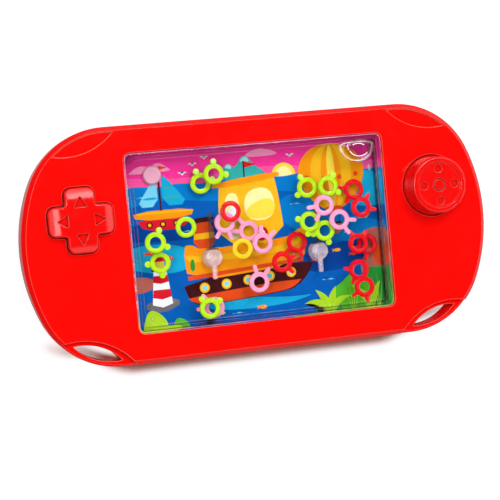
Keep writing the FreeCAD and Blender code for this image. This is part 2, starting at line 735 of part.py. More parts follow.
def makePeg(side):
    """A clear peg: a faceted boss with a pin that stands up along the picture and a short stub below."""
    body = addBody("peg_" + side)
    facets = 12
    rounds = []
    for radius in (pegParts["boss"], pegParts["boss_top"]):
        turns = [2 * math.pi * (n + 0.5) / facets for n in range(facets)]
        rounds.append(roundedLoop([(radius * math.cos(turn), radius * math.sin(turn)) for turn in turns], [0]))
    low = addSketch(body, "boss_low", rounds[0])
    high = addSketch(body, "boss_high", rounds[1], bossHeight)
    loft = body.newObject("PartDesign::AdditiveLoft", "boss")
    loft.Profile = low
    loft.Sections = [high]
    loft.Ruled = True
    doc.recompute()
    reach, stub = pegParts["reach"], pegParts["stub"]
    pinRound = [circle(0, pinHeight, size("peg_pin_radius"))]
    pad(body, "pin", addSketch(body, "pin_round", pinRound, -reach, "XZ_Plane"), reach)
    pad(body, "stub", addSketch(body, "stub_round", pinRound, "", "XZ_Plane"), stub)
    roundEdges(body, "pin_ends", "sizes.peg_pin_radius * 0.4",
               lambda edge: edge.BoundBox.YMin > reach - 1e-4 or edge.BoundBox.YMax < 1e-4 - stub,
               "PartDesign::Chamfer")
    spigot = addSketch(body, "spigot_round", [circle(0, 0, size("peg_spigot_radius"))])
    pad(body, "spigot", spigot, "sizes.peg_spigot_depth", backwards=True)
    body.Placement = Placement(pegPlace(side), Rotation())
    return body


def makePlug():
    """The soft stopper of the filler neck, pulled out from behind by its tab."""
    body = addBody("filler_plug")
    headTop = at("neck_end") - size("plug_head_gap")
    headBack = headTop - size("plug_head_thick")
    shank = size("filler_bore") - size("filler_slip")
    tip = tankBase + size("plug_stand")
    head = plugHeadRadius
    bevel = size("plug_stand")
    points = [(0, headBack), (head, headBack), (head, headTop), (shank, headTop)]
    points += [(shank, tip - bevel), (shank - bevel, tip), (0, tip)]
    profile = roundedLoop(points, [0])
    revolve(body, "stopper", addSketch(body, "stopper_profile", profile, "", "XZ_Plane"))
    tab = roundedBox(0, 0, size("plug_tab_length"), size("plug_tab_thick"), 0)
    tabSketch = addSketch(body, "tab_outline", tab, headBack)
    pad(body, "tab", tabSketch, "sizes.plug_tab_height", backwards=True)
    body.Placement = Placement(Vector(fillerX, fillerY, 0), Rotation())
    return body


def makePumpCup(side):
    body = addBody("pump_cup_" + side)
    radius, seat, base = size("pump_radius"), at("bulb_seat"), at("card_back")
    cup, floor = radius - size("pump_wall"), base + size("pump_cup_floor")
    points = [(0, base), (radius, base), (radius, seat), (cup, seat), (cup, floor), (0, floor)]
    revolve(body, "cup", addSketch(body, "cup_profile", roundedLoop(points, [0]), "", "XZ_Plane"))
    nippleRound = [circle(0, hoseHeight, nippleRadius)]
    nippleRoot = "sizes.pump_radius - sizes.pump_wall * 0.5"
    nipple = addSketch(body, "nipple_round", nippleRound, nippleRoot, "XZ_Plane")
    pad(body, "nipple", nipple, "sizes.nipple_length + sizes.pump_wall * 0.5")
    bore = addSketch(body, "nipple_bore", [circle(0, hoseHeight, size("nipple_bore"))],
                     "sizes.pump_radius + sizes.nipple_length + sizes.overrun", "XZ_Plane")
    pocket(body, "outlet", bore, "sizes.pump_wall + sizes.nipple_length + 2 * sizes.overrun")
    body.Placement = Placement(pumpPlaces[side], Rotation())
    return body


def makeBulb(side):
    """A soft dome in three steps with a flat top and a flange, open below."""
    body = addBody("pump_bulb_" + side)
    skin, flange = size("bulb_skin"), size("pump_radius")
    radius = flange - size("bulb_flange_width")
    base, seat, crown = at("bulb_seat"), at("clamp_seat"), at("bulb_top")
    rise = crown - seat
    domeShares = [(0.92, 0.52), (0.68, 0.88)]
    outer = [(radius * across, seat + rise * high) for across, high in domeShares]
    inner = [((radius - skin) * across, seat + (rise - skin) * high) for across, high in domeShares]
    top = size("bulb_top_radius")
    points = [(flange, base), (flange, seat), (radius, seat)] + outer + [(top, crown), (0, crown)]
    points += [(0, crown - skin), (top, crown - skin)] + inner[::-1]
    points += [(radius - skin, seat), (radius - skin, base)]
    revolve(body, "dome", addSketch(body, "dome_profile", roundedLoop(points, [0]), "", "XZ_Plane"))
    body.Placement = Placement(pumpPlaces[side], Rotation())
    return body


def makeClamp(side):
    body = addBody("bulb_clamp_" + side)
    inner = size("pump_radius") - size("bulb_flange_width") + size("clamp_gap")
    rounds = [circle(0, 0, size("pump_radius")), circle(0, 0, inner)]
    sketch = addSketch(body, "clamp_rounds", rounds, level["clamp_seat"])
    pad(body, "clamp", sketch, "sizes.clamp_thick")
    body.Placement = Placement(pumpPlaces[side], Rotation())
    return body


def makeHose(side):
    """Soft tube from a pump cup, round the corner of the tank, to its jet. Straight runs and tangent bends."""
    sign = sides[side]
    place = pumpPlaces[side]
    start = place.y - size("pump_radius")
    end = sign * (jetX + size("jet_block") / 2)
    turnY, turnX = tankLow + size("hose_above"), sign * (tankLength / 2 + size("hose_beside"))
    route = [
        Vector(place.x, start, 0),
        Vector(place.x, turnY, 0),
        Vector(turnX, turnY, 0),
        Vector(turnX, jetY, 0),
        Vector(end, jetY, 0),
    ]
    bend = size("hose_bend")
    curves, last = [], route[0]
    for before, corner, after in zip(route, route[1:], route[2:]):
        back, ahead = (before - corner).normalize(), (after - corner).normalize()
        into, out = corner + back * bend, corner + ahead * bend
        centre = corner + (back + ahead) * bend
        middle = centre + (corner - centre).normalize() * bend
        curves += [Part.LineSegment(last, into), Part.Arc(into, middle, out)]
        last = out
    curves.append(Part.LineSegment(last, route[-1]))
    body = addBody("feed_hose_" + side)
    path = addSketch(body, "route", curves, hoseHeight)
    rounds = [circle(place.x, hoseHeight, radius) for radius in (hoseRadius, size("hose_bore"))]
    section = addSketch(body, "section", rounds, -start, "XZ_Plane")
    pipe = body.newObject("PartDesign::AdditivePipe", "tube")
    pipe.Profile = section
    pipe.Spine = path
    doc.recompute()
    return body


def makeJet(side):
    """An elbow on the underside of the tank, with a short mouth through its wall."""
    sign = sides[side]
    body = addBody("jet_" + side)
    block, tipRadius = size("jet_block"), size("jet_tip_radius")
    tipEnd = tankLow + size("tank_wall") + size("jet_tip_stand")
    outline = roundedBox(0, jetY, block, block, size("edge_round"))
    sketch = addSketch(body, "block_outline", outline, hoseHeight - size("jet_block_height") / 2)
    pad(body, "block", sketch, "sizes.jet_block_height")
    cone = [(0, jetY), (tipRadius, jetY), (tipRadius, tankLow), (size("jet_mouth_radius"), tipEnd), (0, tipEnd)]
    revolve(body, "tip", addSketch(body, "tip_profile", roundedLoop(cone, [0]), hoseHeight))
    bore = addSketch(body, "tip_bore", [circle(0, hoseHeight, size("nipple_bore"))], -tipEnd - over, "XZ_Plane")
    pocket(body, "mouth", bore, tipEnd - jetY + over, forwards=True)
    nippleRound = [circle(jetY, hoseHeight, nippleRadius)]
    nipple = addSketch(body, "nipple_round", nippleRound, sign * (block / 2 - over / 2), "YZ_Plane")
    pad(body, "nipple", nipple, "sizes.nipple_length + sizes.overrun * 0.5", backwards=sign < 0)
    inlet = addSketch(body, "inlet_round", [circle(jetY, hoseHeight, size("nipple_bore"))], "", "YZ_Plane")
    pocket(body, "inlet", inlet, "sizes.jet_block + sizes.nipple_length", forwards=sign > 0)
    body.Placement = Placement(Vector(sign * jetX, 0, 0), Rotation())
    return body


def makeCrossButton():
    """Four arms that fall away from a flat middle, each with an arrow sunk in it."""
    body = addBody("cross_button")
    top = depth + size("cross_rise")
    flangeFace, flangeBack = level["flange_top"], level["flange_back"]
    flange = addSketch(body, "flange_round", [circle(0, 0, flangeRadius["left"])], flangeFace)
    pad(body, "flange", flange, "sizes.button_flange_thick", backwards=True)
    arms = addSketch(body, "arm_outline", crossOutline(), flangeFace)
    pad(body, "arms", arms, "sizes.face_skin + sizes.button_flange_gap + sizes.cross_rise")
    # each arm falls in an arc that leaves the flat middle smoothly
    hub = size("cross_half_arm") + size("cross_inner_corner")
    fall, reach = size("cross_drop"), size("cross_half_span") - hub
    bend = (reach**2 + fall**2) / (2 * fall)
    far = reach + over
    angles = [far / bend * share for share in (0, 0.5, 1)]
    onArc = [Vector(hub + bend * math.sin(angle), top - bend * (1 - math.cos(angle)), 0) for angle in angles]
    corners = [Vector(onArc[2].x, top + over, 0), Vector(hub, top + over, 0)]
    falling = [
        Part.Arc(*onArc),
        Part.LineSegment(onArc[2], corners[0]),
        Part.LineSegment(*corners),
        Part.LineSegment(corners[1], onArc[0]),
    ]
    fallLine = addSketch(body, "fall_line", falling, "", "XZ_Plane")
    fallCut = pocket(body, "fall", fallLine, "2 * sizes.cross_half_arm + sizes.overrun", middle=True)
    spin(body, "four_falls", [fallCut], 4)
    wire = Part.Wire(Part.__sortEdges__([curve.toShape() for curve in crossOutline()]))

    def aroundTop(edge):
        middle = edge.valueAt((edge.FirstParameter + edge.LastParameter) / 2)
        ends = [vertex.Point for vertex in edge.Vertexes]
        level = abs(ends[0].z - ends[-1].z) < size("cross_drop") + over * 0.1
        near = Part.Vertex(middle.x, middle.y, 0).distToShape(wire)[0] < size("edge_round") * 0.1
        return near and level and edge.BoundBox.ZMin > depth + size("edge_round")

    roundEdges(body, "soft_edge", "sizes.cross_edge_round", aroundTop)
    base, start, reach = size("arrow_half_base"), size("arrow_start"), size("arrow_reach")
    arrow = roundedLoop([(start, -base), (start + reach, 0), (start, base)], [size("arrow_round")])
    arrowLine = addSketch(body, "arrow_line", arrow, "sizes.case_depth + sizes.cross_rise")
    spin(body, "four_arrows", [pocket(body, "arrow", arrowLine, "sizes.arrow_depth")], 4)
    # hollow arms below, with the presser in the middle
    shell, half, presser = size("button_shell"), size("cross_half_arm"), size("presser_radius")
    near, far = presser + size("seat_gap"), size("cross_half_span") - shell
    hollow = roundedBox((near + far) / 2, 0, far - near, 2 * (half - shell), size("cross_inner_corner"))
    hollowLine = addSketch(body, "hollow_line", hollow, flangeBack)
    armRise = "sizes.button_flange_thick + sizes.face_skin + sizes.cross_rise"
    armHollow = armRise + " - sizes.cross_drop - sizes.button_shell"
    hollowCut = pocket(body, "hollow", hollowLine, armHollow, forwards=True)
    spin(body, "four_hollows", [hollowCut], 4)
    stem = addSketch(body, "stem_round", [circle(0, 0, presser)], flangeBack)
    pad(body, "presser", stem, "sizes.seat_gap", backwards=True)
    body.Placement = Placement(crossPlace, Rotation())
    return body


def makeRoundButton():
    """A tall dished button with a thin rim, a ring line and four round marks sunk in the top."""
    body = addBody("round_button")
    base, flange = size("round_base_radius"), flangeRadius["right"]
    topRadius = base - size("round_draft")
    top, presserBack = depth + size("round_rise"), at("presser_back")
    flangeTop, flangeBack = at("flange_top"), at("flange_back")
    edge, rim, dish = size("round_edge_round"), size("round_rim_width"), size("round_dish")
    shell = size("button_shell")
    roof = top - dish - shell
    presser = size("presser_radius")
    points = [
        (0, presserBack), (presser, presserBack), (presser, roof), (topRadius - shell, roof),
        (base - shell, flangeBack), (flange, flangeBack), (flange, flangeTop), (base, flangeTop),
        (base, depth), (topRadius, top), (topRadius - edge - rim, top),
        (topRadius - edge - rim - dish, top - dish), (0, top - dish),
    ]
    profile = roundedLoop(points, [0, 0, 0, 0, 0, 0, 0, 0, 0, edge, 0, 0, 0])
    revolve(body, "cap", addSketch(body, "cap_profile", profile, "", "XZ_Plane"))
    ring, line = size("round_ring_radius"), size("round_ring_line")
    dishTop = "sizes.case_depth + sizes.round_rise - sizes.round_dish"
    ringLine = addSketch(body, "ring_line", [circle(0, 0, ring), circle(0, 0, ring - line)], dishTop)
    pocket(body, "ring", ringLine, "sizes.round_mark_depth")
    markRound = circle(0, size("round_mark_place"), size("round_mark_radius"))
    mark = addSketch(body, "mark_round", [markRound], dishTop)
    spin(body, "four_marks", [pocket(body, "mark", mark, "sizes.round_mark_depth")], 4)
    body.Placement = Placement(roundPlace, Rotation())
    return body


# Rings: kind, place across and up the window as shares of its half length and half width,
# layer counted from the picture, and the way that the ears point, in degrees
ringShares = {
    "ring_green_1": ("bear", -0.408, 0.600, 0, 60),
    "ring_green_2": ("bear", -0.312, 0.690, 2, 40),
    "ring_green_3": ("plain", -0.565, 0.128, 3, 0),
    "ring_green_4": ("bear", -0.810, -0.010, 4, 22),
    "ring_green_5": ("bear", -0.780, -0.240, 2, 229),
    "ring_green_6": ("bear", -0.445, -0.800, 4, 80),
    "ring_green_7": ("bear", 0.412, 0.445, 1, 166),
    "ring_green_8": ("bear", 0.571, 0.440, 2, 12),
    "ring_green_9": ("bear", 0.394, 0.055, 3, 210),
    "ring_green_10": ("bear", 0.514, -0.064, 2, 238),
    "ring_pink_1": ("rabbit", -0.267, 0.137, 3, 262),
    "ring_pink_2": ("rabbit", -0.071, 0.012, 0, 150),
    "ring_pink_3": ("rabbit", 0.016, -0.137, 2, 64),
    "ring_pink_4": ("rabbit", -0.037, -0.573, 2, 75),
    "ring_pink_5": ("rabbit", -0.402, -0.800, 2, 155),
    "ring_pink_6": ("rabbit", 0.510, 0.226, 4, 210),
    "ring_pink_7": ("rabbit", 0.630, 0.046, 3, 328),
    "ring_red_1": ("plain", -0.220, 0.256, 4, 0),
    "ring_red_2": ("horned", 0.300, -0.165, 0, 251),
    "ring_red_3": ("horned", 0.143, -0.369, 4, 347),
    "ring_red_4": ("horned", 0.790, 0.372, 0, 199),
    "ring_red_5": ("horned", 0.806, 0.165, 4, 20),
    "ring_red_6": ("horned", 0.773, -0.250, 2, 86),
    "ring_red_7": ("horned", 0.860, -0.271, 0, 227),
    "ring_red_8": ("horned", 0.751, -0.549, 3, 204),
    "ring_red_9": ("horned", 0.777, -0.750, 4, 245),
    "ring_yellow_1": ("plain", -0.149, -0.174, 3, 0),
}
earSpreadShares = {"bear": 0.26, "rabbit": 0.145, "horned": 0.19}


def earCurves(kind, turn):
    """One ear of a ring, pointing the given way."""
    along = Vector(math.cos(turn), math.sin(turn), 0)
    across = Vector(-along.y, along.x, 0)
    root = (ringRadius + ringParts["hole"]) / 2
    if kind == "bear":
        centre = along * ringParts["bear_place"]
        return [circle(centre.x, centre.y, ringParts["bear_radius"])]
    if kind == "rabbit":
        reach, base = ringParts["long_reach"], ringParts["long_half"]
        tip, soft = base, base * 0.9
    else:
        reach, base, tip = ringParts["horn_reach"], ringParts["horn_base"], ringParts["horn_tip"]
        soft = tip * 0.6
    ends = [(root, -base), (reach, -tip), (reach, tip), (root, base)]
    points = []
    for out, side in ends:
        spot = along * out + across * side
        points.append((spot.x, spot.y))
    return roundedLoop(points, [0, soft, soft, 0])


def makeRing(name, kind, shareX, shareY, layer, degrees):
    body = addBody(name)
    outer, hole, thick, bevel = ringRadius, ringParts["hole"], ringThick, ringParts["bevel"]
    points = [(hole, 0), (outer - bevel, 0), (outer, bevel)]
    points += [(outer, thick - bevel), (outer - bevel, thick), (hole, thick)]
    revolve(body, "hoop", addSketch(body, "hoop_profile", roundedLoop(points, [0]), "", "XZ_Plane"))
    if kind != "plain":
        spread = earSpreadShares[kind] * math.pi / 2
        ears = [earCurves(kind, sign * spread * 2) for sign in (-1, 1)]
        for number, curves in enumerate(ears, start=1):
            sketch = addSketch(body, "ear_outline_%d" % number, curves, "sizes.ear_step")
            pad(body, "ear_%d" % number, sketch, ringThick - 2 * size("ear_step"))
    height = tankBase + size("ring_first") + layer * ringPitch
    body.Placement = Placement(inWindow(shareX, shareY, height), Rotation(up, degrees))
    return body


pieces = [makeFrontShell(), makeRearShell(), makeScrews(), makeTankFront(), makeTankBack(), makeCard()]
for sideName in sides:
    pieces += [makePeg(sideName), makePumpCup(sideName), makeBulb(sideName), makeClamp(sideName)]
    pieces += [makeHose(sideName), makeJet(sideName)]
pieces += [makePlug(), makeCrossButton(), makeRoundButton()]
for ringName, facts in ringShares.items():
    pieces.append(makeRing(ringName, *facts))

doc.recompute()
for item in doc.Objects:
    if "Invalid" in item.State or "Error" in item.State:
        raise ValueError(item.Label + " failed")
os.makedirs("parts", exist_ok=True)
for piece in pieces:
    shape = piece.Shape
    if shape.isNull() or not shape.isValid():
        raise ValueError(piece.Label + " has no valid shape")
    shape.exportStep("parts/%s.step" % piece.Label)
    print(piece.Label, len(shape.Solids), round(shape.Volume, 1))
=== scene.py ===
import bpy
import bmesh
import math
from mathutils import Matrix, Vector


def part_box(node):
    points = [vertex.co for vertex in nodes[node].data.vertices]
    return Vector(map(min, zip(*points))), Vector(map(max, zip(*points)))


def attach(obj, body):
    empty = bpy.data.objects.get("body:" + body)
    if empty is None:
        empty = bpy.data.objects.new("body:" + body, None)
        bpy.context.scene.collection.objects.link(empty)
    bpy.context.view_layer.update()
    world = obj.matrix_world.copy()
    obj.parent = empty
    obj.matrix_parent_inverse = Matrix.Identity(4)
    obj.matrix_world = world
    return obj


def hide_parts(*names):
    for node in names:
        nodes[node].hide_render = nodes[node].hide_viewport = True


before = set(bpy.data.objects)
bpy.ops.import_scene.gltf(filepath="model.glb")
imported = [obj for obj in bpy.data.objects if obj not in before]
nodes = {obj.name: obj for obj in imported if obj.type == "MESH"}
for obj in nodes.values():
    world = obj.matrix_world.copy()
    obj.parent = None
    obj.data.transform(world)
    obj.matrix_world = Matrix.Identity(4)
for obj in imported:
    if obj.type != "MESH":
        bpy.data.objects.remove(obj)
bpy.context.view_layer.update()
mm = 0.001
print("frame loaded")


# camera, where the photograph was taken from
cameraFacts = {
    "place": (-0.1259, 0.0146, 0.5208),
    "turn": (-0.040, -0.237, -0.092),
    "lens": 100.8,
    "nearest": 0.01,
}
cameraData = bpy.data.cameras.new("camera")
camera = bpy.data.objects.new("camera", cameraData)
bpy.context.collection.objects.link(camera)
camera.location = cameraFacts["place"]
camera.rotation_mode = "ZXY"
camera.rotation_euler = cameraFacts["turn"]
cameraData.lens = cameraFacts["lens"]
cameraData.clip_start = cameraFacts["nearest"]
bpy.context.scene.camera = camera


# node helpers
finishFacts = {
    "lineSamples": 6,
    "bumpSamples": 4,
    "cornerSamples": 6,
    "mottleStops": (0.3, 0.7),
    "glossSpan": (0.35, 0.65),
    "cornerSpan": (0.9, 0.45),
    "weldWithin": 0.002 * mm,
    "sharpFrom": math.radians(30),
}


def srgb(r, g, b):
    # 8-bit screen colour to linear
    linear = []
    for v in (r / 255, g / 255, b / 255):
        linear.append(v / 12.92 if v <= 0.04045 else ((v + 0.055) / 1.055) ** 2.4)
    return (*linear, 1)


def feed(tree, value, socket):
    # value is another socket, or what this one is set to
    if isinstance(value, bpy.types.NodeSocket):
        tree.links.new(value, socket)
    else:
        socket.default_value = value


def linkMath(tree, operation, first, second=0.0):
    node = tree.nodes.new("ShaderNodeMath")
    node.operation = operation
    feed(tree, first, node.inputs[0])
    feed(tree, second, node.inputs[1])
    return node.outputs[0]


def product(tree, first, *others):
    for other in others:
        first = linkMath(tree, "MULTIPLY", first, other)
    return first


def mapRange(tree, value, low, high, outLow=0.0, outHigh=1.0):
    spread = tree.nodes.new("ShaderNodeMapRange")
    limits = {"From Min": low, "From Max": high, "To Min": outLow, "To Max": outHigh}
    for name, number in limits.items():
        spread.inputs[name].default_value = number
    tree.links.new(value, spread.inputs["Value"])
    return spread.outputs["Result"]


def axes(tree, kind):
    # X, Y and Z of the object's own coordinates, of its normal, or of a direction
    coords = tree.nodes.new("ShaderNodeTexCoord")
    split = tree.nodes.new("ShaderNodeSeparateXYZ")
    tree.links.new(coords.outputs[kind], split.inputs[0])
    return split.outputs


def addNoise(tree, scale, detail=3.0):
    coords = tree.nodes.new("ShaderNodeTexCoord")
    noise = tree.nodes.new("ShaderNodeTexNoise")
    noise.inputs["Scale"].default_value = scale
    noise.inputs["Detail"].default_value = detail
    tree.links.new(coords.outputs["Object"], noise.inputs["Vector"])
    return noise.outputs["Fac"]


def mixColours(tree, factor, first, second, blend="MIX"):
    mix = tree.nodes.new("ShaderNodeMix")
    mix.data_type = "RGBA"
    mix.blend_type = blend
    colours = [socket for socket in mix.inputs if socket.type == "RGBA"]
    tree.links.new(factor, mix.inputs["Factor"])
    feed(tree, first, colours[0])
    feed(tree, second, colours[1])
    return next(socket for socket in mix.outputs if socket.type == "RGBA")


def mixShaders(tree, factor, first, second):
    mix = tree.nodes.new("ShaderNodeMixShader")
    for place, socket in enumerate((factor, first, second)):
        tree.links.new(socket, mix.inputs[place])
    return mix.outputs["Shader"]


def plainShader(tree, kind, colour):
    shader = tree.nodes.new("ShaderNode" + kind)
    feed(tree, colour, shader.inputs["Color"])
    return shader.outputs[0]


def edgeLine(tree, radius, low, high):
    # 1 along sharp edges, 0 on the faces between them
    rounded = tree.nodes.new("ShaderNodeBevel")
    rounded.samples = finishFacts["lineSamples"]
    rounded.inputs["Radius"].default_value = radius
    facing = tree.nodes.new("ShaderNodeNewGeometry")
    match = tree.nodes.new("ShaderNodeVectorMath")
    match.operation = "DOT_PRODUCT"
    tree.links.new(rounded.outputs["Normal"], match.inputs[0])
    tree.links.new(facing.outputs["Normal"], match.inputs[1])
    return mapRange(tree, linkMath(tree, "SUBTRACT", 1.0, match.outputs["Value"]), low, high)


def insideBox(tree, middle, half, corner=0.0):
    # 1 within a box of the object's own coordinates, 0 outside
    # with a corner radius the box's upright edges are round
    place = axes(tree, "Object")
    away = [
        linkMath(tree, "ABSOLUTE", linkMath(tree, "SUBTRACT", place[axis], centre))
        for axis, centre in zip("XYZ", middle)
    ]
    found = product(tree, *[linkMath(tree, "LESS_THAN", *pair) for pair in zip(away, half)])
    if corner:
        squares = []
        for distance, reach in zip(away[:2], half):
            past = linkMath(tree, "MAXIMUM", linkMath(tree, "SUBTRACT", distance, reach - corner))
            squares.append(linkMath(tree, "POWER", past, 2))
        within = linkMath(tree, "LESS_THAN", linkMath(tree, "ADD", *squares), corner ** 2)
        found = product(tree, found, within)
    return found


# what a surface can have, each set by an entry of its dictionary
def mottle(material, scale, spread, detail=3.0):
    # a slow drift of the colour, lighter and darker than its mean
    tree = material.node_tree
    base = tree.nodes["Principled BSDF"].inputs["Base Color"]
    ramp = tree.nodes.new("ShaderNodeValToRGB")
    dark, light = ramp.color_ramp.elements
    dark.position, light.position = finishFacts["mottleStops"]
    dark.color = [v * (1 - spread) for v in base.default_value[:3]] + [1]
    light.color = [min(v * (1 + spread), 1) for v in base.default_value[:3]] + [1]
    tree.links.new(addNoise(tree, scale, detail), ramp.inputs["Fac"])
    tree.links.new(ramp.outputs["Color"], base)


def varyGloss(material, scale, low, high):
    tree = material.node_tree
    roughness = mapRange(tree, addNoise(tree, scale, 5), *finishFacts["glossSpan"], low, high)
    tree.links.new(roughness, tree.nodes["Principled BSDF"].inputs["Roughness"])


def addGrain(material, scale, strength, distance=0.02 * mm, softEdge=0.0):
    # fine bump of the mould, on edges softened by a small radius
    tree = material.node_tree
    bump = tree.nodes.new("ShaderNodeBump")
    bump.inputs["Strength"].default_value = strength
    bump.inputs["Distance"].default_value = distance
    tree.links.new(addNoise(tree, scale, 4), bump.inputs["Height"])
    if softEdge:
        edge = tree.nodes.new("ShaderNodeBevel")
        edge.samples = finishFacts["bumpSamples"]
        edge.inputs["Radius"].default_value = softEdge
        tree.links.new(edge.outputs["Normal"], bump.inputs["Normal"])
    tree.links.new(bump.outputs["Normal"], tree.nodes["Principled BSDF"].inputs["Normal"])


def layColour(material, factor, colour, blend="MIX"):
    # lays a colour over the base colour where the factor is 1
    tree = material.node_tree
    base = tree.nodes["Principled BSDF"].inputs["Base Color"]
    under = base.links[0].from_socket if base.is_linked else base.default_value
    tree.links.new(mixColours(tree, factor, under, colour, blend), base)


def paintCornerShade(material, distance, colour):
    # painted shade: darker where faces meet in a corner
    tree = material.node_tree
    corners = tree.nodes.new("ShaderNodeAmbientOcclusion")
    corners.samples = finishFacts["cornerSamples"]
    corners.only_local = True
    corners.inputs["Distance"].default_value = distance
    shade = mapRange(tree, corners.outputs["AO"], *finishFacts["cornerSpan"])
    layColour(material, shade, colour, "MULTIPLY")


def paintEdgeHighlight(material, radius, low, high, colour):
    # painted highlight: a lighter colour laid along sharp edges
    layColour(material, edgeLine(material.node_tree, radius, low, high), colour)


finishes = {
    "mottle": mottle,
    "gloss": varyGloss,
    "grain": addGrain,
    "corners": paintCornerShade,
    "edges": paintEdgeHighlight,
}


def newMaterial(name, facts):
    material = bpy.data.materials.new(name)
    material.use_nodes = True
    sockets = material.node_tree.nodes["Principled BSDF"].inputs
    sockets["Base Color"].default_value = facts["colour"]
    if "roughness" in facts:
        sockets["Roughness"].default_value = facts["roughness"]
    for socket, value in facts.get("sockets", {}).items():
        sockets[socket].default_value = value
    for finish, add in finishes.items():
        if finish in facts:
            add(material, **facts[finish])
    return material


def overlay(material, factor, shader):
    # a second shader over the first one where the factor is 1
    tree = material.node_tree
    surface = tree.nodes["Material Output"].inputs["Surface"]
    tree.links.new(mixShaders(tree, factor, surface.links[0].from_socket, shader), surface)


def letLampsThrough(material, colour=(1, 1, 1, 1), clearBoxes=(), share=1.0):
    # clear plastic bends what is seen through it, and lets the lamps' light in
    # within the clear boxes it hardly bends anything, as where it touches water
    tree = material.node_tree
    through = tree.nodes.new("ShaderNodeLightPath").outputs["Is Shadow Ray"]
    for clearBox in clearBoxes:
        within = product(tree, insideBox(tree, *clearBox), share)
        through = linkMath(tree, "MAXIMUM", through, within)
    overlay(material, through, plainShader(tree, "BsdfTransparent", colour))


def dress(material, *names):
    for name in names:
        piece = nodes[name]
        piece.data.materials.clear()
        piece.data.materials.append(material)


def soften(node, width, segments=2):
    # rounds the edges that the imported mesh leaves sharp
    piece = nodes[node]
    weld = piece.modifiers.new("weld", "WELD")
    weld.merge_threshold = finishFacts["weldWithin"]
    bevel = piece.modifiers.new("bevel", "BEVEL")
    bevel.width = width
    bevel.segments = segments
    bevel.limit_method = "ANGLE"
    bevel.angle_limit = finishFacts["sharpFrom"]
    bevel.harden_normals = False
    for face in piece.data.polygons:
        face.use_smooth = True


# red case and buttons
caseFacts = {
    "colour": srgb(252, 9, 5),
    "sockets": {"Specular IOR Level": 0.4},
    "mottle": {"scale": 24, "spread": 0.015},
    "gloss": {"scale": 120, "low": 0.10, "high": 0.15},
    "grain": {"scale": 900, "strength": 0.12, "softEdge": 0.3 * mm},
    # painted shade in the corners, and a painted highlight along the edges
    "corners": {"distance": 1.2 * mm, "colour": (0.86, 0.7, 0.7, 1)},
    "edges": {"radius": 0.42 * mm, "low": 0.01, "high": 0.16, "colour": (1.0, 0.2, 0.14, 1)},
}
dress(newMaterial("shell_red", caseFacts), "front_shell", "rear_shell")

buttonFacts = {
    "colour": srgb(240, 9, 6),
    "sockets": {"Specular IOR Level": 0.5},
    "mottle": {"scale": 60, "spread": 0.015},
    "gloss": {"scale": 200, "low": 0.12, "high": 0.18},
    "grain": {"scale": 1200, "strength": 0.1, "softEdge": 0.3 * mm},
    # painted shade in the corners, and a painted highlight along the edges
    "corners": {"distance": 1.2 * mm, "colour": (0.55, 0.35, 0.35, 1)},
    "edges": {"radius": 0.32 * mm, "low": 0.015, "high": 0.25, "colour": (1.0, 0.15, 0.11, 1)},
}
dress(newMaterial("button_red", buttonFacts), "cross_button", "round_button")
print("case and buttons dressed")


# clear tank, full of water, so only its outer faces bend the view
tankFacts = {
    "colour": (0.99, 0.995, 1.0, 1),
    "roughness": 0.015,
    "sockets": {"Transmission Weight": 1.0, "IOR": 1.4},
    "grain": {"scale": 60, "strength": 0.05, "distance": 0.05 * mm},
    "through": (0.985, 0.99, 1, 1),
}
tankSizes = {
    "skin": 0.05 * mm,  # what is nearer to the outer walls than this bends the view
    "face": 1.2 * mm,  # and what is this near to the top
    "deep": 20 * mm,
    "corner": 2.3 * mm,
    "lipWidth": 2.6 * mm,
    "lipDrop": 0.4 * mm,
    "lipHalf": 0.16 * mm,
    "lipMargin": 0.1 * mm,
    "shoulder": 18.4 * mm,
}
tankClear = newMaterial("tank_clear", tankFacts)
trayLow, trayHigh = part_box("tank_front")
plateLow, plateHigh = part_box("tank_back")
trayMiddle = (trayLow + trayHigh) / 2
wetHalf = (
    (plateHigh.x - plateLow.x) / 2 - tankSizes["skin"],
    (plateHigh.y - plateLow.y) / 2 - tankSizes["skin"],
    tankSizes["deep"],
)
wetMiddle = (trayMiddle.x, trayMiddle.y, trayHigh.z - tankSizes["face"] - tankSizes["deep"])
wetBox = (wetMiddle, wetHalf, tankSizes["corner"] - tankSizes["skin"])
lipInset = tankSizes["lipWidth"] - tankSizes["skin"] - tankSizes["lipMargin"]
lipBox = (
    (trayMiddle.x, trayMiddle.y, trayHigh.z - tankSizes["lipDrop"] / 2),
    (wetHalf[0] - lipInset, wetHalf[1] - lipInset, tankSizes["lipHalf"]),
)
letLampsThrough(tankClear, tankFacts["through"], (wetBox, lipBox))
dress(tankClear, "tank_front")

# painted highlight: a pale pink laid in streaks on the clear face's slopes and edges, most along
# its rounded border
glintFacts = {
    "colour": (1.0, 0.5, 0.52, 1),
    "edges": {"radius": 0.2 * mm, "low": 0.03, "high": 0.25},
    "upright": (0.15, 0.4),
    "flat": (0.99, 0.9),
    "streakScale": 130,
    "streaks": (0.35, 0.65, 0.25, 0.75),
}
tree = tankClear.node_tree
upward = axes(tree, "Normal")["Z"]
notUpright = mapRange(tree, upward, *glintFacts["upright"])
notFlat = mapRange(tree, upward, *glintFacts["flat"])
slant = product(tree, notUpright, notFlat)
glintMask = linkMath(tree, "MAXIMUM", slant, edgeLine(tree, **glintFacts["edges"]))
streaks = mapRange(tree, addNoise(tree, glintFacts["streakScale"], 2), *glintFacts["streaks"])
aboveShoulder = insideBox(tree, (0, 0, trayHigh.z), (1, 1, trayHigh.z - tankSizes["shoulder"]))
glintMask = product(tree, glintMask, streaks, aboveShoulder)
overlay(tankClear, glintMask, plainShader(tree, "BsdfDiffuse", glintFacts["colour"]))
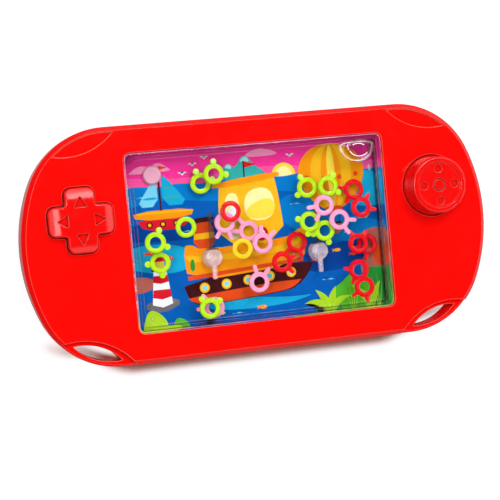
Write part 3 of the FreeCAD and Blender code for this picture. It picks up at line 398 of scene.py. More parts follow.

# painted reflection: under its shoulder the clear face is painted with the colours of the
# picture's rim
shoulderReflections = [  # screen colour, then two corners in mm
    ((0, 92, 176), (-60, -40), (60, 20)),
    ((226, 46, 128), (-60, 20), (60, 40)),
    ((96, 170, 40), (10, -40), (60, -24)),
    ((186, 98, 84), (40, -24), (60, -4)),
    ((160, 200, 40), (-60, -40), (-34, -26)),
]
paint = srgb(*shoulderReflections[0][0])
for ink, low, high in shoulderReflections:
    middle = [(a + b) / 2 * mm for a, b in zip(low, high)] + [0]
    half = [(b - a) / 2 * mm for a, b in zip(low, high)] + [1]
    paint = mixColours(tree, insideBox(tree, middle, half), paint, srgb(*ink))
underside = insideBox(tree, (0, 0, tankSizes["shoulder"]), (1, 1, tankSizes["skin"]))
overlay(tankClear, underside, plainShader(tree, "BsdfDiffuse", paint))

backFacts = {
    "colour": (0.985, 0.995, 1, 1),
    "roughness": 0.01,
    "sockets": tankFacts["sockets"],
    "through": (0.99, 0.995, 1, 1),
}
backClear = newMaterial("tank_back_clear", backFacts)
letLampsThrough(backClear, backFacts["through"], (wetBox,))
dress(backClear, "tank_back")

# frosted bosses whose pins all but vanish in the water
pegFacts = {
    "colour": (1.0, 0.86, 0.91, 1),
    "sockets": {
        "Transmission Weight": 0.8, "IOR": 1.13,
        "Coat Weight": 0.6, "Coat Roughness": 0.05,
    },
    "gloss": {"scale": 700, "low": 0.05, "high": 0.2},
    "through": (0.94, 0.92, 0.94, 1),
    "pinShare": 0.92,
    "frosted": 10.8 * mm,  # the lower end that isn't pin
    "pinDepth": 16 * mm,
    "softEdge": 0.2 * mm,
}
for side in ("left", "right"):
    pegLow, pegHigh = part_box("peg_" + side)
    pegClear = newMaterial("peg_clear_" + side, pegFacts)
    pinBox = (
        ((pegLow.x + pegHigh.x) / 2, pegHigh.y, pegHigh.z),
        (pegHigh.x - pegLow.x, pegHigh.y - pegLow.y - pegFacts["frosted"], pegFacts["pinDepth"]),
    )
    letLampsThrough(pegClear, pegFacts["through"], (pinBox,), pegFacts["pinShare"])
    dress(pegClear, "peg_" + side)
    soften("peg_" + side, pegFacts["softEdge"])
print("tank dressed")


# loose rings
ringFacts = {
    "mottle": {"scale": 500, "spread": 0.06},
    "gloss": {"scale": 900, "low": 0.12, "high": 0.22},
    "grain": {"scale": 2600, "strength": 0.08},
    # painted shade in the rings' corners
    "corners": {"distance": 0.8 * mm, "colour": (0.6, 0.6, 0.6, 1)},
    "softEdge": 0.5 * mm,
}
ringKinds = {  # colour, and how much light goes through
    "green": (srgb(178, 226, 20), 0.10),
    "pink": (srgb(250, 160, 196), 0.10),
    "red": (srgb(224, 8, 26), 0.05),
    "yellow": (srgb(255, 205, 20), 0.10),
}
for kind, (colour, glow) in ringKinds.items():
    sockets = {"Specular IOR Level": 0.6, "Subsurface Weight": glow, "Subsurface Scale": 0.6 * mm}
    ringPaint = newMaterial("ring_" + kind, dict(ringFacts, colour=colour, sockets=sockets))
    rings = [node for node in nodes if node.startswith("ring_" + kind)]
    dress(ringPaint, *rings)
    for ring in rings:
        soften(ring, ringFacts["softEdge"], segments=3)
print("rings dressed")


# inner works, seen only through the finger slots and from behind
innerFacts = {
    "screw_steel": {
        "pieces": ["case_screws"],
        "colour": srgb(170, 172, 176),
        "sockets": {"Metallic": 1.0},
        "gloss": {"scale": 2500, "low": 0.2, "high": 0.45},
    },
    "plug_rubber": {
        "pieces": ["filler_plug"],
        "colour": srgb(226, 150, 172),
        "roughness": 0.35,
        "sockets": {"Subsurface Weight": 0.2},
        "mottle": {"scale": 400, "spread": 0.05},
        "grain": {"scale": 1500, "strength": 0.15},
    },
    "pump_white": {
        "pieces": ["pump_cup_left", "pump_cup_right", "bulb_clamp_left", "bulb_clamp_right"],
        "colour": srgb(226, 226, 222),
        "roughness": 0.42,
        "mottle": {"scale": 300, "spread": 0.04},
        "grain": {"scale": 1500, "strength": 0.15},
    },
    "bulb_rubber": {
        "pieces": ["pump_bulb_left", "pump_bulb_right"],
        "colour": srgb(205, 196, 180),
        "roughness": 0.6,
        "mottle": {"scale": 300, "spread": 0.06},
        "grain": {"scale": 1500, "strength": 0.2},
    },
    "hose_clear": {
        "pieces": ["feed_hose_left", "feed_hose_right"],
        "colour": srgb(222, 222, 214),
        "roughness": 0.3,
        "sockets": {"Transmission Weight": 0.4},
        "mottle": {"scale": 300, "spread": 0.05},
    },
}
for name, facts in innerFacts.items():
    dress(newMaterial(name, facts), *facts["pieces"])

# the jets stand in the water and hardly show
jetFacts = {
    "colour": (0.8, 0.88, 0.95, 1),
    "roughness": 0.2,
    "sockets": {"Transmission Weight": 0.9, "IOR": 1.05},
    "through": (0.96, 0.98, 1, 1),
    "share": 0.94,
}
everywhere = ((0, 0, 0), (1, 1, 1))
jetClear = newMaterial("jet_clear", jetFacts)
letLampsThrough(jetClear, jetFacts["through"], (everywhere,), jetFacts["share"])
dress(jetClear, "jet_left", "jet_right")
print("inner works dressed")


# printed picture behind the tank: a harbour, in flat inks laid over each other
inks = {
    "magenta": (252, 52, 148), "rose": (255, 86, 158), "blush": (252, 150, 190),
    "deep": (0, 64, 146), "blue": (0, 92, 178), "sky": (0, 120, 196),
    "cyan": (20, 166, 210), "pale": (120, 208, 232), "teal": (52, 172, 164),
    "mint": (150, 222, 205), "orange": (255, 152, 12), "amber": (255, 184, 26),
    "yellow": (255, 222, 70), "cream": (255, 240, 160), "brick": (226, 74, 24),
    "red": (218, 26, 40), "brown": (66, 18, 22), "clay": (186, 98, 84),
    "grey": (112, 106, 112), "white": (250, 250, 250), "green": (40, 152, 54),
    "leaf": (84, 186, 40), "lime": (176, 218, 36),
}
inkFacts = {
    "roughness": 0.6,
    "sockets": {"Specular IOR Level": 0.04},
    "mottle": {"scale": 260, "spread": 0.05, "detail": 6},
}
inkMaterials = {
    name: newMaterial("ink_" + name, dict(inkFacts, colour=srgb(*colour)))
    for name, colour in inks.items()
}

printFacts = {
    "sheetTop": 0.04 * mm,
    "firstInk": 0.05 * mm,
    "layer": 0.0022 * mm,
    "pastCard": 0.15 * mm,
    "sameSpot": 1e-6,
}
cardLow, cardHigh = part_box("picture_card")
printMargin = Vector((printFacts["pastCard"], printFacts["pastCard"], 0))
printLow, printHigh = cardLow - printMargin, cardHigh + printMargin
printed = []


def oval(x, y, rx, ry=None, start=0, end=360, count=36):
    # closed, or an arc that keeps its last point
    ry = rx if ry is None else ry
    steps = count + (end - start < 360)
    turns = [math.radians(start + (end - start) * n / count) for n in range(steps)]
    return [(x + rx * math.cos(turn), y + ry * math.sin(turn)) for turn in turns]


def block(x0, y0, x1, y1):
    return [(x0, y0), (x1, y0), (x1, y1), (x0, y1)]


def soft(points, rounds=3):
    # cuts each corner of a closed outline, again and again
    for _ in range(rounds):
        cut = []
        for n, (x, y) in enumerate(points):
            nextX, nextY = points[(n + 1) % len(points)]
            cut.append((x * 0.75 + nextX * 0.25, y * 0.75 + nextY * 0.25))
            cut.append((x * 0.25 + nextX * 0.75, y * 0.25 + nextY * 0.75))
        points = cut
    return points


def waves(x0, x1, y, low, rise, length, shift=0.0, count=60):
    top = []
    for n in range(count + 1):
        x = x0 + (x1 - x0) * n / count
        top.append((x, y + rise * math.sin(2 * math.pi * x / length + shift)))
    return top + [(x1, low), (x0, low)]


def onCard(outline):
    # an outline in mm, kept to the card, without doubled points and anticlockwise
    kept = []
    for x, y in outline:
        x = max(min(x * mm, printHigh.x), printLow.x)
        y = max(min(y * mm, printHigh.y), printLow.y)
        if not kept or (Vector((x, y)) - Vector(kept[-1])).length > printFacts["sameSpot"]:
            kept.append((x, y))
    if (Vector(kept[0]) - Vector(kept[-1])).length < printFacts["sameSpot"]:
        kept.pop()
    area = sum(a[0] * b[1] - b[0] * a[1] for a, b in zip(kept, kept[1:] + kept[:1]))
    if area < 0:
        kept.reverse()
    return kept


def placeMesh(name, mesh):
    piece = bpy.data.objects.new(name, mesh)
    bpy.context.collection.objects.link(piece)
    return piece


def printShapes(name, shapes):
    # one flat piece; each shape lies a hair above the last
    mesh = bpy.data.meshes.new(name)
    build = bmesh.new()
    used = []
    for ink, outline in shapes:
        if ink not in used:
            used.append(ink)
        height = cardLow.z + printFacts["firstInk"] + len(printed) * printFacts["layer"]
        printed.append(ink)
        face = build.faces.new([build.verts.new((x, y, height)) for x, y in onCard(outline)])
        face.material_index = used.index(ink)
    bmesh.ops.triangulate(build, faces=build.faces[:])
    build.to_mesh(mesh)
    build.free()
    for ink in used:
        mesh.materials.append(inkMaterials[ink])
    piece = placeMesh(name, mesh)
    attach(piece, "case")


# the card itself, a thin white sheet under the inks
sheetHigh = (cardHigh.x, cardHigh.y, cardLow.z + printFacts["sheetTop"])
cardMesh = bpy.data.meshes.new("picture_sheet")
build = bmesh.new()
bmesh.ops.create_cube(build, size=1)
for vert in build.verts:
    vert.co = [low if at < 0 else high for at, low, high in zip(vert.co, cardLow, sheetHigh)]
build.to_mesh(cardMesh)
build.free()
cardMesh.materials.append(inkMaterials["white"])
cardSheet = placeMesh("picture_sheet", cardMesh)
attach(cardSheet, "case")
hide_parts("picture_card")

printShapes("print_sky", [
    ("magenta", block(-49, 18, 49, 34)),
    ("rose", waves(-49, 49, 23.5, 18, 0.8, 60, 1.0)),
    ("blush", soft([
        (-46, 26), (-42, 28.5), (-38, 27.5), (-35, 29.5), (-31, 26.8), (-30, 25.6), (-46, 25.4),
    ])),
    ("blush", soft([(-2, 29.4), (3, 31.4), (8, 30.4), (11, 29), (9, 28.2), (-1, 28.2)])),
    ("yellow", oval(12.5, 20.5, 4.6)),
    ("cream", oval(12.5, 20.5, 3.2)),
])
printShapes("print_sea", [
    ("sky", waves(-49, 49, 20.4, -34, 0.35, 16)),
    ("blue", waves(-49, 49, 14.0, -34, 0.9, 38, 0.6)),
    ("deep", soft([(-52, 6.5), (-30, 7.6), (-14, 5.5), (-8, 2), (-20, -0.5), (-52, 0.5)])),
    ("cyan", soft([(-52, -2), (-38, -0.4), (-27, -2.6), (-22, -8), (-32, -13), (-52, -9)])),
    ("cyan", soft([(52, 19.6), (33, 19.8), (28, 14), (36, 7), (52, 5)])),
    ("sky", soft([(8, 12), (22, 14), (30, 4), (52, 0), (52, -8), (26, -6), (10, 2)])),
    ("deep", soft([(52, -6), (30, -6.5), (16, -10), (14, -16), (30, -18), (52, -13)])),
    ("cyan", soft([(-25, -25), (-8, -23.2), (10, -25.5), (22, -25), (8, -28.2), (-16, -28)])),
])
crestPlaces = [  # x, y and width
    (-44, 16.5, 4), (-30, 2.8, 5), (-40, -17, 4), (24, -20.5, 5), (40, 1.5, 4),
    (34, -3.4, 3.4), (-20, 17.6, 4), (-12, -29.4, 5), (14, 9.2, 4),
]
printShapes("print_crests", [
    ("pale", waves(x, x + width, y + 0.25, y, 0.22, width / 1.5, 0.4, 14))
    for x, y, width in crestPlaces
])
printShapes("print_islands", [
    ("teal", soft([
        (-14, 20.2), (-11, 24.6), (-8.6, 26.8), (-6, 24.4), (-3.5, 28.6), (-1.4, 29.2),
        (1.4, 25.2), (4, 23.4), (7, 20.2),
    ], 2)),
    ("mint", soft([(-10.2, 24.8), (-8.6, 26.6), (-7, 24.9), (-8, 24.3), (-9, 24.9)], 2)),
    ("mint", soft([
        (-4.2, 26.6), (-3, 28.4), (-1.5, 28.8), (-0.2, 26.8), (-1.4, 26), (-2.6, 26.9),
    ], 2)),
    ("clay", soft([
        (52, -3), (43.5, -2), (41.5, -6), (42.5, -11), (39, -16), (41, -24), (52, -26),
    ])),
    ("brick", soft([(52, -8), (45.4, -8.6), (44.6, -13), (46, -17), (52, -17)], 2)),
    ("clay", soft([(-52, -13), (-43, -12), (-39, -15), (-43, -18.5), (-52, -18)])),
])
print("picture: sky, sea and islands")

# fishing boat under sail, upper left
sail = [
    ("red", soft([(-45, 9), (-24, 9), (-27.4, 4.2), (-42, 4.2)], 1)),
    ("orange", soft([(-46, 11.6), (-22.6, 11.6), (-24.4, 8.2), (-45, 8.2)], 1)),
    ("amber", block(-44.4, 10.4, -23.8, 11.0)),
    ("brown", block(-35.6, 11.4, -34.9, 26.2)),
    ("cyan", soft([(-34.4, 13), (-34.4, 25.6), (-30, 20.4), (-24.6, 13)], 1)),
    ("teal", soft([(-34.0, 15.6), (-34.0, 16.6), (-28.0, 16.6), (-27.2, 15.6)], 1)),
    ("teal", soft([(-34.0, 19.2), (-34.0, 20.1), (-30.6, 20.1), (-30.0, 19.2)], 1)),
    ("pale", soft([(-36.1, 13), (-36.1, 24), (-40, 19.4), (-44.2, 13)], 1)),
    ("cyan", soft([(-36.3, 15.6), (-36.3, 16.5), (-41, 16.5), (-41.8, 15.6)], 1)),
    ("brick", soft([(-35, 26.2), (-35, 28), (-31.6, 27.1)], 0)),
]
for n in range(3):
    sail += [("brown", oval(-40 + 5 * n, 6.4, 1.15)), ("amber", oval(-40 + 5 * n, 6.4, 0.65))]
printShapes("print_sailboat", sail)

# harbour tug in the middle
tug = [
    ("brown", soft([
        (-30, -15.4), (21.6, -11.6), (19, -17.2), (14, -21.8), (8, -23.2), (-22, -25.4),
        (-27.4, -23.4),
    ], 1)),
    ("brick", soft([
        (-28.4, -21.6), (16.4, -18.4), (13.4, -21.4), (8, -22.9), (-22, -25.1), (-27, -23.2),
    ], 1)),
    ("orange", soft([
        (-28.4, -2.6), (-25, -2.2), (-22, -4.4), (10, -3.6), (18.4, 1.0), (19.4, -0.4),
        (17.4, -13.2), (-27.6, -16.2),
    ], 1)),
    ("amber", soft([
        (-27.6, -5.6), (-22.6, -7.0), (10, -6.2), (18.4, -2.0), (18.0, -4.2), (10, -8.4),
        (-23, -9.2), (-27.4, -8.0),
    ], 1)),
    ("brick", soft([(-27.6, -13.8), (17.2, -11.0), (17.0, -12.4), (-27.4, -15.4)], 0)),
    ("amber", soft([
        (-14.6, -4.4), (-13.2, 17.2), (-11.8, 18.8), (7.6, 20.6), (9.2, 19), (11.2, -4.0),
    ], 1)),
    ("orange", soft([(-15.6, 17.2), (-15.2, 19.6), (10.4, 22.4), (10.8, 19.8)], 1)),
    ("cream", soft([(-11.6, 4.4), (-11.0, 15.2), (-5.6, 15.8), (-5.8, 4.4)], 2)),
    ("cream", soft([(-3.8, 4.4), (-3.6, 16.0), (7.4, 17.0), (8.2, 4.6)], 2)),
    ("yellow", soft([(-3.2, 5.0), (-3.0, 10.0), (7.6, 13.6), (7.9, 5.2)], 2)),
    ("white", soft([(-10.8, 5.4), (-10.4, 9.0), (-6.4, 12.4), (-6.2, 5.4)], 2)),
    ("brick", soft([(-24.4, -4.0), (-23.6, 5.8), (-16.6, 6.4), (-15.8, -4.0)], 1)),
    ("amber", soft([(-24.0, -0.6), (-23.8, 1.6), (-16.2, 1.8), (-16.1, -0.4)], 0)),
    ("brown", soft([(-24.6, 5.4), (-24.4, 7.2), (-15.8, 7.8), (-15.8, 6.0)], 1)),
    ("red", oval(1.8, -0.6, 2.7)),
    ("white", oval(1.8, -0.6, 1.5)),
    ("orange", oval(1.8, -0.6, 1.2)),
    ("cream", soft([(-10.6, -1.8), (-10.4, 1.6), (-6.4, 1.8), (-6.3, -1.6)], 1)),
    ("green", soft([(-26.4, -12.0), (-26.0, -7.6), (-24.6, -7.6), (-24.4, -12.0)], 2)),
    ("brown", block(-3.0, 21, -2.5, 27)),
    ("red", [(-2.5, 27), (-2.5, 24.4), (2.2, 25.4)]),
]
for n in range(5):
    x, y = -21.6 + 8.4 * n, -18.6 + 0.62 * n
    tug += [("amber", oval(x, y, 1.9)), ("yellow", oval(x, y, 1.3)), ("pale", oval(x, y, 0.9))]
printShapes("print_tug", tug)
print("picture: boats")

# striped balloon, right
balloon = [
    ("orange", soft([
        (31, 31.4), (22.4, 29.4), (17.4, 22), (19.2, 14), (26.4, 5.8), (35.6, 5.8), (42.8, 14),
        (44.6, 22), (39.6, 29.4),
    ], 3)),
    ("amber", soft([
        (31, 31.2), (25.4, 28.6), (22.6, 22), (23.6, 14.4), (28.2, 6.8), (30.2, 6.8),
        (27.4, 14.4), (26.8, 22), (28.6, 28.6),
    ], 3)),
    ("yellow", soft([
        (31, 31.2), (30.0, 28), (29.4, 22), (29.6, 14), (30.4, 6.8), (31.6, 6.8), (32.4, 14),
        (32.6, 22), (32.0, 28),
    ], 3)),
    ("amber", soft([
        (31, 31.2), (36.6, 28.6), (39.4, 22), (38.4, 14.4), (33.8, 6.8), (31.8, 6.8),
        (34.6, 14.4), (35.2, 22), (33.4, 28.6),
    ], 3)),
    ("brick", soft([(27.2, 7.2), (34.8, 7.2), (33.8, 4.6), (28.2, 4.6)], 1)),
    ("brown", [(28.6, 4.8), (28.9, 4.8), (29.5, 0.6), (29.2, 0.6)]),
    ("brown", [(33.1, 4.8), (33.4, 4.8), (32.8, 0.6), (32.5, 0.6)]),
    ("clay", soft([(28.4, 1.0), (33.6, 1.0), (33.0, -3.4), (29.0, -3.4)], 1)),
    ("brown", block(28.5, 0.4, 33.5, 1.0)),
]
for n in range(4):
    balloon.append(("brick", oval(21.4 + 6.4 * n, 18.6 - (0.7 if n in (1, 2) else 0), 0.9)))
printShapes("print_balloon", balloon)

# striped lighthouse on its rock, lower left
beacon = [
    ("grey", soft([(-46, -23.6), (-37.4, -19.8), (-29.4, -22.8), (-38.0, -26.6)], 1)),
    ("white", [(-41.6, -23.0), (-40.2, -10.4), (-35.4, -10.4), (-34.0, -23.0), (-37.8, -24.2)]),
    ("red", [(-41.3, -20.4), (-40.9, -17.6), (-34.6, -17.6), (-34.2, -20.4), (-37.8, -21.2)]),
    ("red", [(-40.7, -14.8), (-40.4, -12.4), (-35.2, -12.4), (-34.9, -14.8), (-37.8, -15.4)]),
    ("brown", block(-41.0, -10.8, -34.6, -9.9)),
    ("yellow", block(-39.6, -9.9, -36.0, -7.2)),
    ("red", [(-40.4, -7.2), (-35.2, -7.2), (-37.8, -4.6)]),
]
printShapes("print_lighthouse", beacon)


# plants along the shore
def bush(x, y, width, height, lumps):
    outline = [(x - width, y)]
    for n in range(lumps):
        turn = math.pi - math.pi * (n + 0.5) / lumps
        swell = 1.0 + 0.16 * (n % 2)
        across = x + width * 1.02 * swell * math.cos(turn)
        outline.append((across, y + height * swell * math.sin(turn)))
    outline.append((x + width, y))
    return soft(outline, 3)


def frond(x, y, length, lean, width):
    # a leaf with its midrib, bent over to one side
    left, right = [], []
    for n in range(9):
        part = n / 8
        turn = math.radians(90 - lean * part)
        cx, cy = x + length * part * math.cos(turn), y + length * part * math.sin(turn)
        half = width * math.sin(math.pi * min(part * 0.92 + 0.08, 1))
        left.append((cx - half * math.sin(turn), cy + half * math.cos(turn)))
        right.append((cx + half * math.sin(turn), cy - half * math.cos(turn)))
    tip = ((left[6][0] + right[6][0]) / 2, (left[6][1] + right[6][1]) / 2)
    return left + right[::-1], [(x - 0.14, y + 0.3), (x + 0.14, y + 0.3), tip]


def veins(x, y, width, height, count):
    # pale lines fanned up from the root
    lines = []
    for n in range(count):
        turn = math.radians(90 + 84 * ((n + 0.5) / count - 0.5))
        tip = (x + width * math.cos(turn), y + height * math.sin(turn))
        root = x + width * 0.2 * math.cos(turn)
        lines.append(("lime", [(root - 0.16, y), (root + 0.16, y), tip]))
    return lines


plants = [
    ("green", bush(45.0, -33.5, 7.6, 16.4, 5)),
    ("leaf", bush(35.4, -33.5, 8.2, 13.0, 7)),
    *veins(35.4, -32.5, 6.6, 10.8, 4),
    *veins(45.6, -32.5, 4.6, 13.0, 3),
    ("green", bush(25.6, -33.5, 5.4, 6.4, 5)),
    ("lime", bush(-41.4, -33.5, 4.6, 8.4, 4)),
    ("leaf", bush(-31.8, -33.5, 3.2, 4.8, 4)),
    ("lime", bush(-35.6, -33.5, 4.8, 2.6, 5)),
]
fronds = [
    (24.6, 9.6, -64, 1.5), (25.6, 10.4, -28, 1.5), (26.4, 10.2, 14, 1.5), (27.4, 9.2, 52, 1.4),
    (41.4, 11.4, -34, 1.5), (43.0, 10.8, 20, 1.4),
]
for x, length, lean, width in fronds:
    leaf, rib = frond(x, -33, length, lean, width)
    plants += [("lime", leaf), ("leaf", rib)]
printShapes("print_plants", plants)


# fish and gulls
def fish(x, y, size, ink):
    body = oval(x, y, size, size * 0.5)
    eye = oval(x + size * 0.5, y + size * 0.12, size * 0.13, count=12)
    tail = [
        (x - size * 0.7, y), (x - size * 1.6, y + size * 0.55),
        (x - size * 1.35, y), (x - size * 1.6, y - size * 0.55),
    ]
    return [(ink, body), (ink, tail), ("white", eye)]


fishPlaces = [
    (-34, -6.4, 1.7, "brick"), (-41, -4.0, 1.4, "brick"), (22.6, -12.4, 1.5, "brick"),
    (30.8, -9.6, 1.3, "orange"), (37, -11.6, 1.2, "brick"), (0, -28.0, 1.5, "orange"),
    (-16, -28.6, 1.3, "yellow"), (43, 2.6, 1.5, "orange"),
]
gullPlaces = [(-22, 27), (-17.4, 29.2), (-26.2, 24), (15.4, 27.4)]
gullOutline = [
    (-1.7, 0.6), (-0.8, 0.95), (0, 0.1), (0.8, 0.95),
    (1.7, 0.6), (0.8, 0.5), (0, -0.35), (-0.8, 0.5),
]
shoal = []
for x, y, size, ink in fishPlaces:
    shoal += fish(x, y, size, ink)
for x, y in gullPlaces:
    shoal.append(("white", [(x + dx, y + dy) for dx, dy in gullOutline]))
printShapes("print_shoal", shoal)
print("picture:", len(printed), "shapes")


# air left in the tank, under the window
airFacts = {
    "colour": (1, 1, 1, 1),
    "roughness": 0.0,
    "sockets": {"Transmission Weight": 1.0, "IOR": 0.75},
    "rim": (0.5, 0.15),
    "foldFrom": (0.78, 0.84),
    "foldTo": (0.93, 0.87),
    "rimGleamColour": (1, 0.9, 0.95, 1),
    "patchScale": 160,
    "patches": (0.4, 0.6, 0.2, 0.9),
}
airFilm = newMaterial("air_film", airFacts)
letLampsThrough(airFilm)
tree = airFilm.node_tree
# painted highlight: white along the bubble's rim and folds, in patches
slope = linkMath(tree, "ABSOLUTE", axes(tree, "Normal")["Z"])
foldFrom = mapRange(tree, slope, *airFacts["foldFrom"])
foldTo = mapRange(tree, slope, *airFacts["foldTo"])
rim = mapRange(tree, slope, *airFacts["rim"])
gleam = linkMath(tree, "MAXIMUM", rim, product(tree, foldFrom, foldTo))
patches = mapRange(tree, addNoise(tree, airFacts["patchScale"], 2), *airFacts["patches"])
paintedRimGleam = plainShader(tree, "BsdfDiffuse", airFacts["rimGleamColour"])
overlay(airFilm, product(tree, gleam, patches), paintedRimGleam)

bubbleFacts = {
    "top": trayHigh.z - 2.1 * mm,
    "thick": 1.9 * mm,
    "gleamWidth": 0.24,
    "gleamDrop": 0.05 * mm,
}
bubbleOutline = [
    (32.6, 31.0), (33.0, 27.0), (35.6, 23.6), (40, 22.4),
    (44.4, 23.6), (46.6, 27), (46.8, 31.0),
]
bubbleProfile = [  # share of the outline, and of the drop's height
    (0.0, 0.0), (0.6, 0.0), (0.76, 0.05), (0.88, 0.15), (0.96, 0.3), (1.0, 0.5),
    (0.96, 0.7), (0.84, 0.87), (0.6, 0.97), (0.3, 1.0), (0.0, 1.01),
]


def bubble(name, outline, height):
    # a flat-topped drop: rings of the outline drawn in and down
    mesh = bpy.data.meshes.new(name)
    build = bmesh.new()
    count = len(outline)
    cx = sum(x for x, y in outline) / count
    cy = sum(y for x, y in outline) / count
    loops = []
    for share, drop in bubbleProfile:
        z = bubbleFacts["top"] - drop * height
        spots = [(cx + (x - cx) * share, cy + (y - cy) * share) for x, y in outline]
        if share == 0:
            spots = [(cx, cy)]
        loops.append([build.verts.new((x * mm, y * mm, z)) for x, y in spots])
    for upper, lower in zip(loops, loops[1:]):
        for n in range(count):
            m = (n + 1) % count
            if len(upper) == 1:
                build.faces.new((upper[0], lower[n], lower[m]))
            elif len(lower) == 1:
                build.faces.new((upper[n], lower[0], upper[m]))
            else:
                build.faces.new((upper[n], lower[n], lower[m], upper[m]))
    bmesh.ops.recalc_face_normals(build, faces=build.faces[:])
    build.to_mesh(mesh)
    build.free()
    for face in mesh.polygons:
        face.use_smooth = True
    mesh.materials.append(airFilm)
    piece = placeMesh(name, mesh)
    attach(piece, "case")


bubble("air_bubble", soft(bubbleOutline), bubbleFacts["thick"])

# painted highlights: thin white arcs inside the bubble
paintedGleam = newMaterial("painted_gleam_white", {"colour": (1, 0.93, 0.96, 1), "roughness": 0.3})
bubbleGleams = [  # x, y, the two radii, and from where to where it runs
    ("gleam_low", 40.6, 28.2, 4.0, 3.4, 200, 322),
    ("gleam_high", 40.2, 27.4, 3.4, 2.4, 40, 128),
    ("gleam_side", 37.6, 28.6, 1.5, 2.0, 110, 215),
]
width = bubbleFacts["gleamWidth"]
height = bubbleFacts["top"] - bubbleFacts["gleamDrop"]
for name, x, y, rx, ry, start, end in bubbleGleams:
    arc = oval(x, y, rx, ry, start, end, 14)
    inner = oval(x, y, rx - width, ry - width, start, end, 14)
    corners = [(cx * mm, cy * mm, height) for cx, cy in arc + inner[::-1]]
    last = len(corners) - 1
    mesh = bpy.data.meshes.new(name)
    quads = [(n, n + 1, last - 1 - n, last - n) for n in range(len(arc) - 1)]
    mesh.from_pydata(corners, [], quads)
    mesh.materials.append(paintedGleam)
    piece = placeMesh(name, mesh)
    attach(piece, "case")
bubble("air_bead", oval(44.0, 20.4, 0.55, 1.2, count=16), 0.9 * mm)
bubble("air_bead_2", oval(-43.6, -27.4, 0.5, 0.7, count=16), 0.7 * mm)
print("bubbles placed")


# floor, white to the camera, with a painted reddish shadow at the foot of the case
floorFacts = {
    "size": 3.0,
    "own": 0.75,
    "paint": 0.5,
    "shadowTint": (0.26, 0.06, 0.04),
    "contact": 9 * mm,
    "samples": 16,
    "openness": (0.92, 0.77),
    "lowerSide": (-0.033, -0.041),
    "elsewhere": 0.05,
}
caseFoot = {"halfWidth": 43.2 * mm, "endAt": 44.8 * mm, "blur": 2 * mm}
floorMaterial = bpy.data.materials.new("floor_white")
floorMaterial.use_nodes = True
tree = floorMaterial.node_tree
tree.nodes.clear()
output = tree.nodes.new("ShaderNodeOutputMaterial")
near = tree.nodes.new("ShaderNodeAmbientOcclusion")
near.samples = floorFacts["samples"]
near.inputs["Distance"].default_value = floorFacts["contact"]
place = axes(tree, "Object")
pastEnd = linkMath(tree, "SUBTRACT", linkMath(tree, "ABSOLUTE", place["X"]), caseFoot["endAt"])
pastEnd = linkMath(tree, "POWER", linkMath(tree, "MAXIMUM", pastEnd), 2)
acrossCase = product(tree, place["Y"], place["Y"])
reach = linkMath(tree, "SQRT", linkMath(tree, "ADD", pastEnd, acrossCase))
outside = mapRange(tree, reach, caseFoot["halfWidth"] - caseFoot["blur"], caseFoot["halfWidth"])
# the painted shadow is strongest along the case's lower side and faint elsewhere
lowerSide = mapRange(tree, place["Y"], *floorFacts["lowerSide"], floorFacts["elsewhere"], 1.0)
shade = mapRange(tree, near.outputs["AO"], *floorFacts["openness"])
shade = product(tree, shade, lowerSide, outside)


def floorTone(share):
    white = [share] * 3 + [1]
    shadowTint = [share * v for v in floorFacts["shadowTint"]] + [1]
    return mixColours(tree, shade, white, shadowTint)


matt = plainShader(tree, "BsdfDiffuse", floorTone(floorFacts["paint"]))
glow = tree.nodes.new("ShaderNodeEmission")
tree.links.new(floorTone(1.0), glow.inputs["Color"])
path = tree.nodes.new("ShaderNodeLightPath")
seen = [path.outputs["Is Camera Ray"], path.outputs["Is Transmission Ray"]]
seen = linkMath(tree, "MAXIMUM", *seen)
tree.links.new(product(tree, seen, floorFacts["own"]), glow.inputs["Strength"])
both = tree.nodes.new("ShaderNodeAddShader")
tree.links.new(matt, both.inputs[0])
tree.links.new(glow.outputs["Emission"], both.inputs[1])
below = plainShader(tree, "BsdfTransparent", (1, 1, 1, 1))
backfacing = tree.nodes.new("ShaderNodeNewGeometry").outputs["Backfacing"]
shown = mixShaders(tree, backfacing, both.outputs["Shader"], below)
tree.links.new(shown, output.inputs["Surface"])

half = floorFacts["size"]
floorMesh = bpy.data.meshes.new("floor")
floorCorners = [(x, y, 0) for x, y in block(-half, -half, half, half)]
floorMesh.from_pydata(floorCorners, [], [(0, 1, 2, 3)])
floorMesh.materials.append(floorMaterial)
floor = placeMesh("floor", floorMesh)


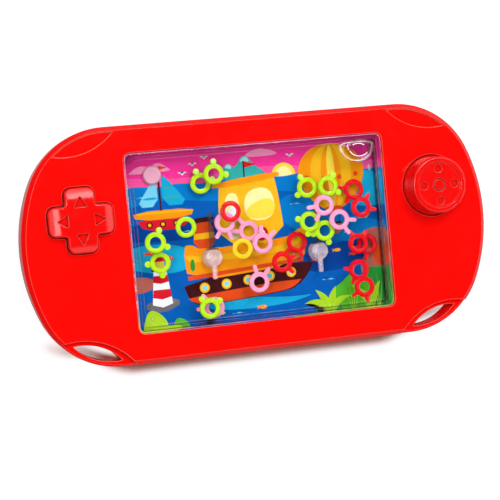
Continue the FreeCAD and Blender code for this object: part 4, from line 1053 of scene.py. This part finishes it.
# a dim zenith keeps the red deep, and a bright band half way up draws lines along the edges
worldFacts = {
    "low": 0.12,
    "band": 2.2,
    "zenith": 0.03,
    "stops": [
        (0.0, "low"), (0.52, "low"), (0.60, "band"), (0.82, "band"),
        (0.88, "zenith"), (1.0, "zenith"),
    ],
    "far": 0.5,
    "brightest": (0.6, 0.8),  # towards the upper right corner
    "turning": (-0.7, 0.7),
}
world = bpy.data.worlds.new("studio")
bpy.context.scene.world = world
world.use_nodes = True
tree = world.node_tree
tree.nodes.clear()
output = tree.nodes.new("ShaderNodeOutputWorld")
direction = axes(tree, "Generated")
ramp = tree.nodes.new("ShaderNodeValToRGB")
while len(ramp.color_ramp.elements) < len(worldFacts["stops"]):
    ramp.color_ramp.elements.new(1.0)
for element, (height, name) in zip(ramp.color_ramp.elements, worldFacts["stops"]):
    element.position = height
    element.color = [worldFacts[name] / worldFacts["band"]] * 3 + [1]
tree.links.new(direction["Z"], ramp.inputs["Fac"])
brightX, brightY = worldFacts["brightest"]
toward = [product(tree, direction["X"], brightX), product(tree, direction["Y"], brightY)]
toward = linkMath(tree, "ADD", *toward)
dimmest = worldFacts["band"] * worldFacts["far"]
strength = mapRange(tree, toward, *worldFacts["turning"], dimmest, worldFacts["band"])
dome = tree.nodes.new("ShaderNodeBackground")
tree.links.new(ramp.outputs["Color"], dome.inputs["Color"])
tree.links.new(strength, dome.inputs["Strength"])
backdrop = tree.nodes.new("ShaderNodeBackground").outputs["Background"]
seen = tree.nodes.new("ShaderNodeLightPath").outputs["Is Camera Ray"]
shown = mixShaders(tree, seen, dome.outputs["Background"], backdrop)
tree.links.new(shown, output.inputs["Surface"])

lampFacts = {
    "key": {"place": (0.16, 0.39, 0.84), "size": 0.34, "power": 2.5},
    "fill": {"place": (-0.34, 0.08, 0.86), "size": 0.3, "power": 1.8},
}
for name, facts in lampFacts.items():
    lampData = bpy.data.lights.new(name, "AREA")
    lampData.shape = "SQUARE"
    lampData.size = facts["size"]
    lampData.energy = facts["power"]
    lamp = bpy.data.objects.new(name, lampData)
    bpy.context.collection.objects.link(lamp)
    lamp.location = facts["place"]
    lamp.rotation_euler = (-Vector(facts["place"])).to_track_quat("-Z", "Y").to_euler()

bpy.context.scene.view_settings.view_transform = "Standard"
print("stage set")
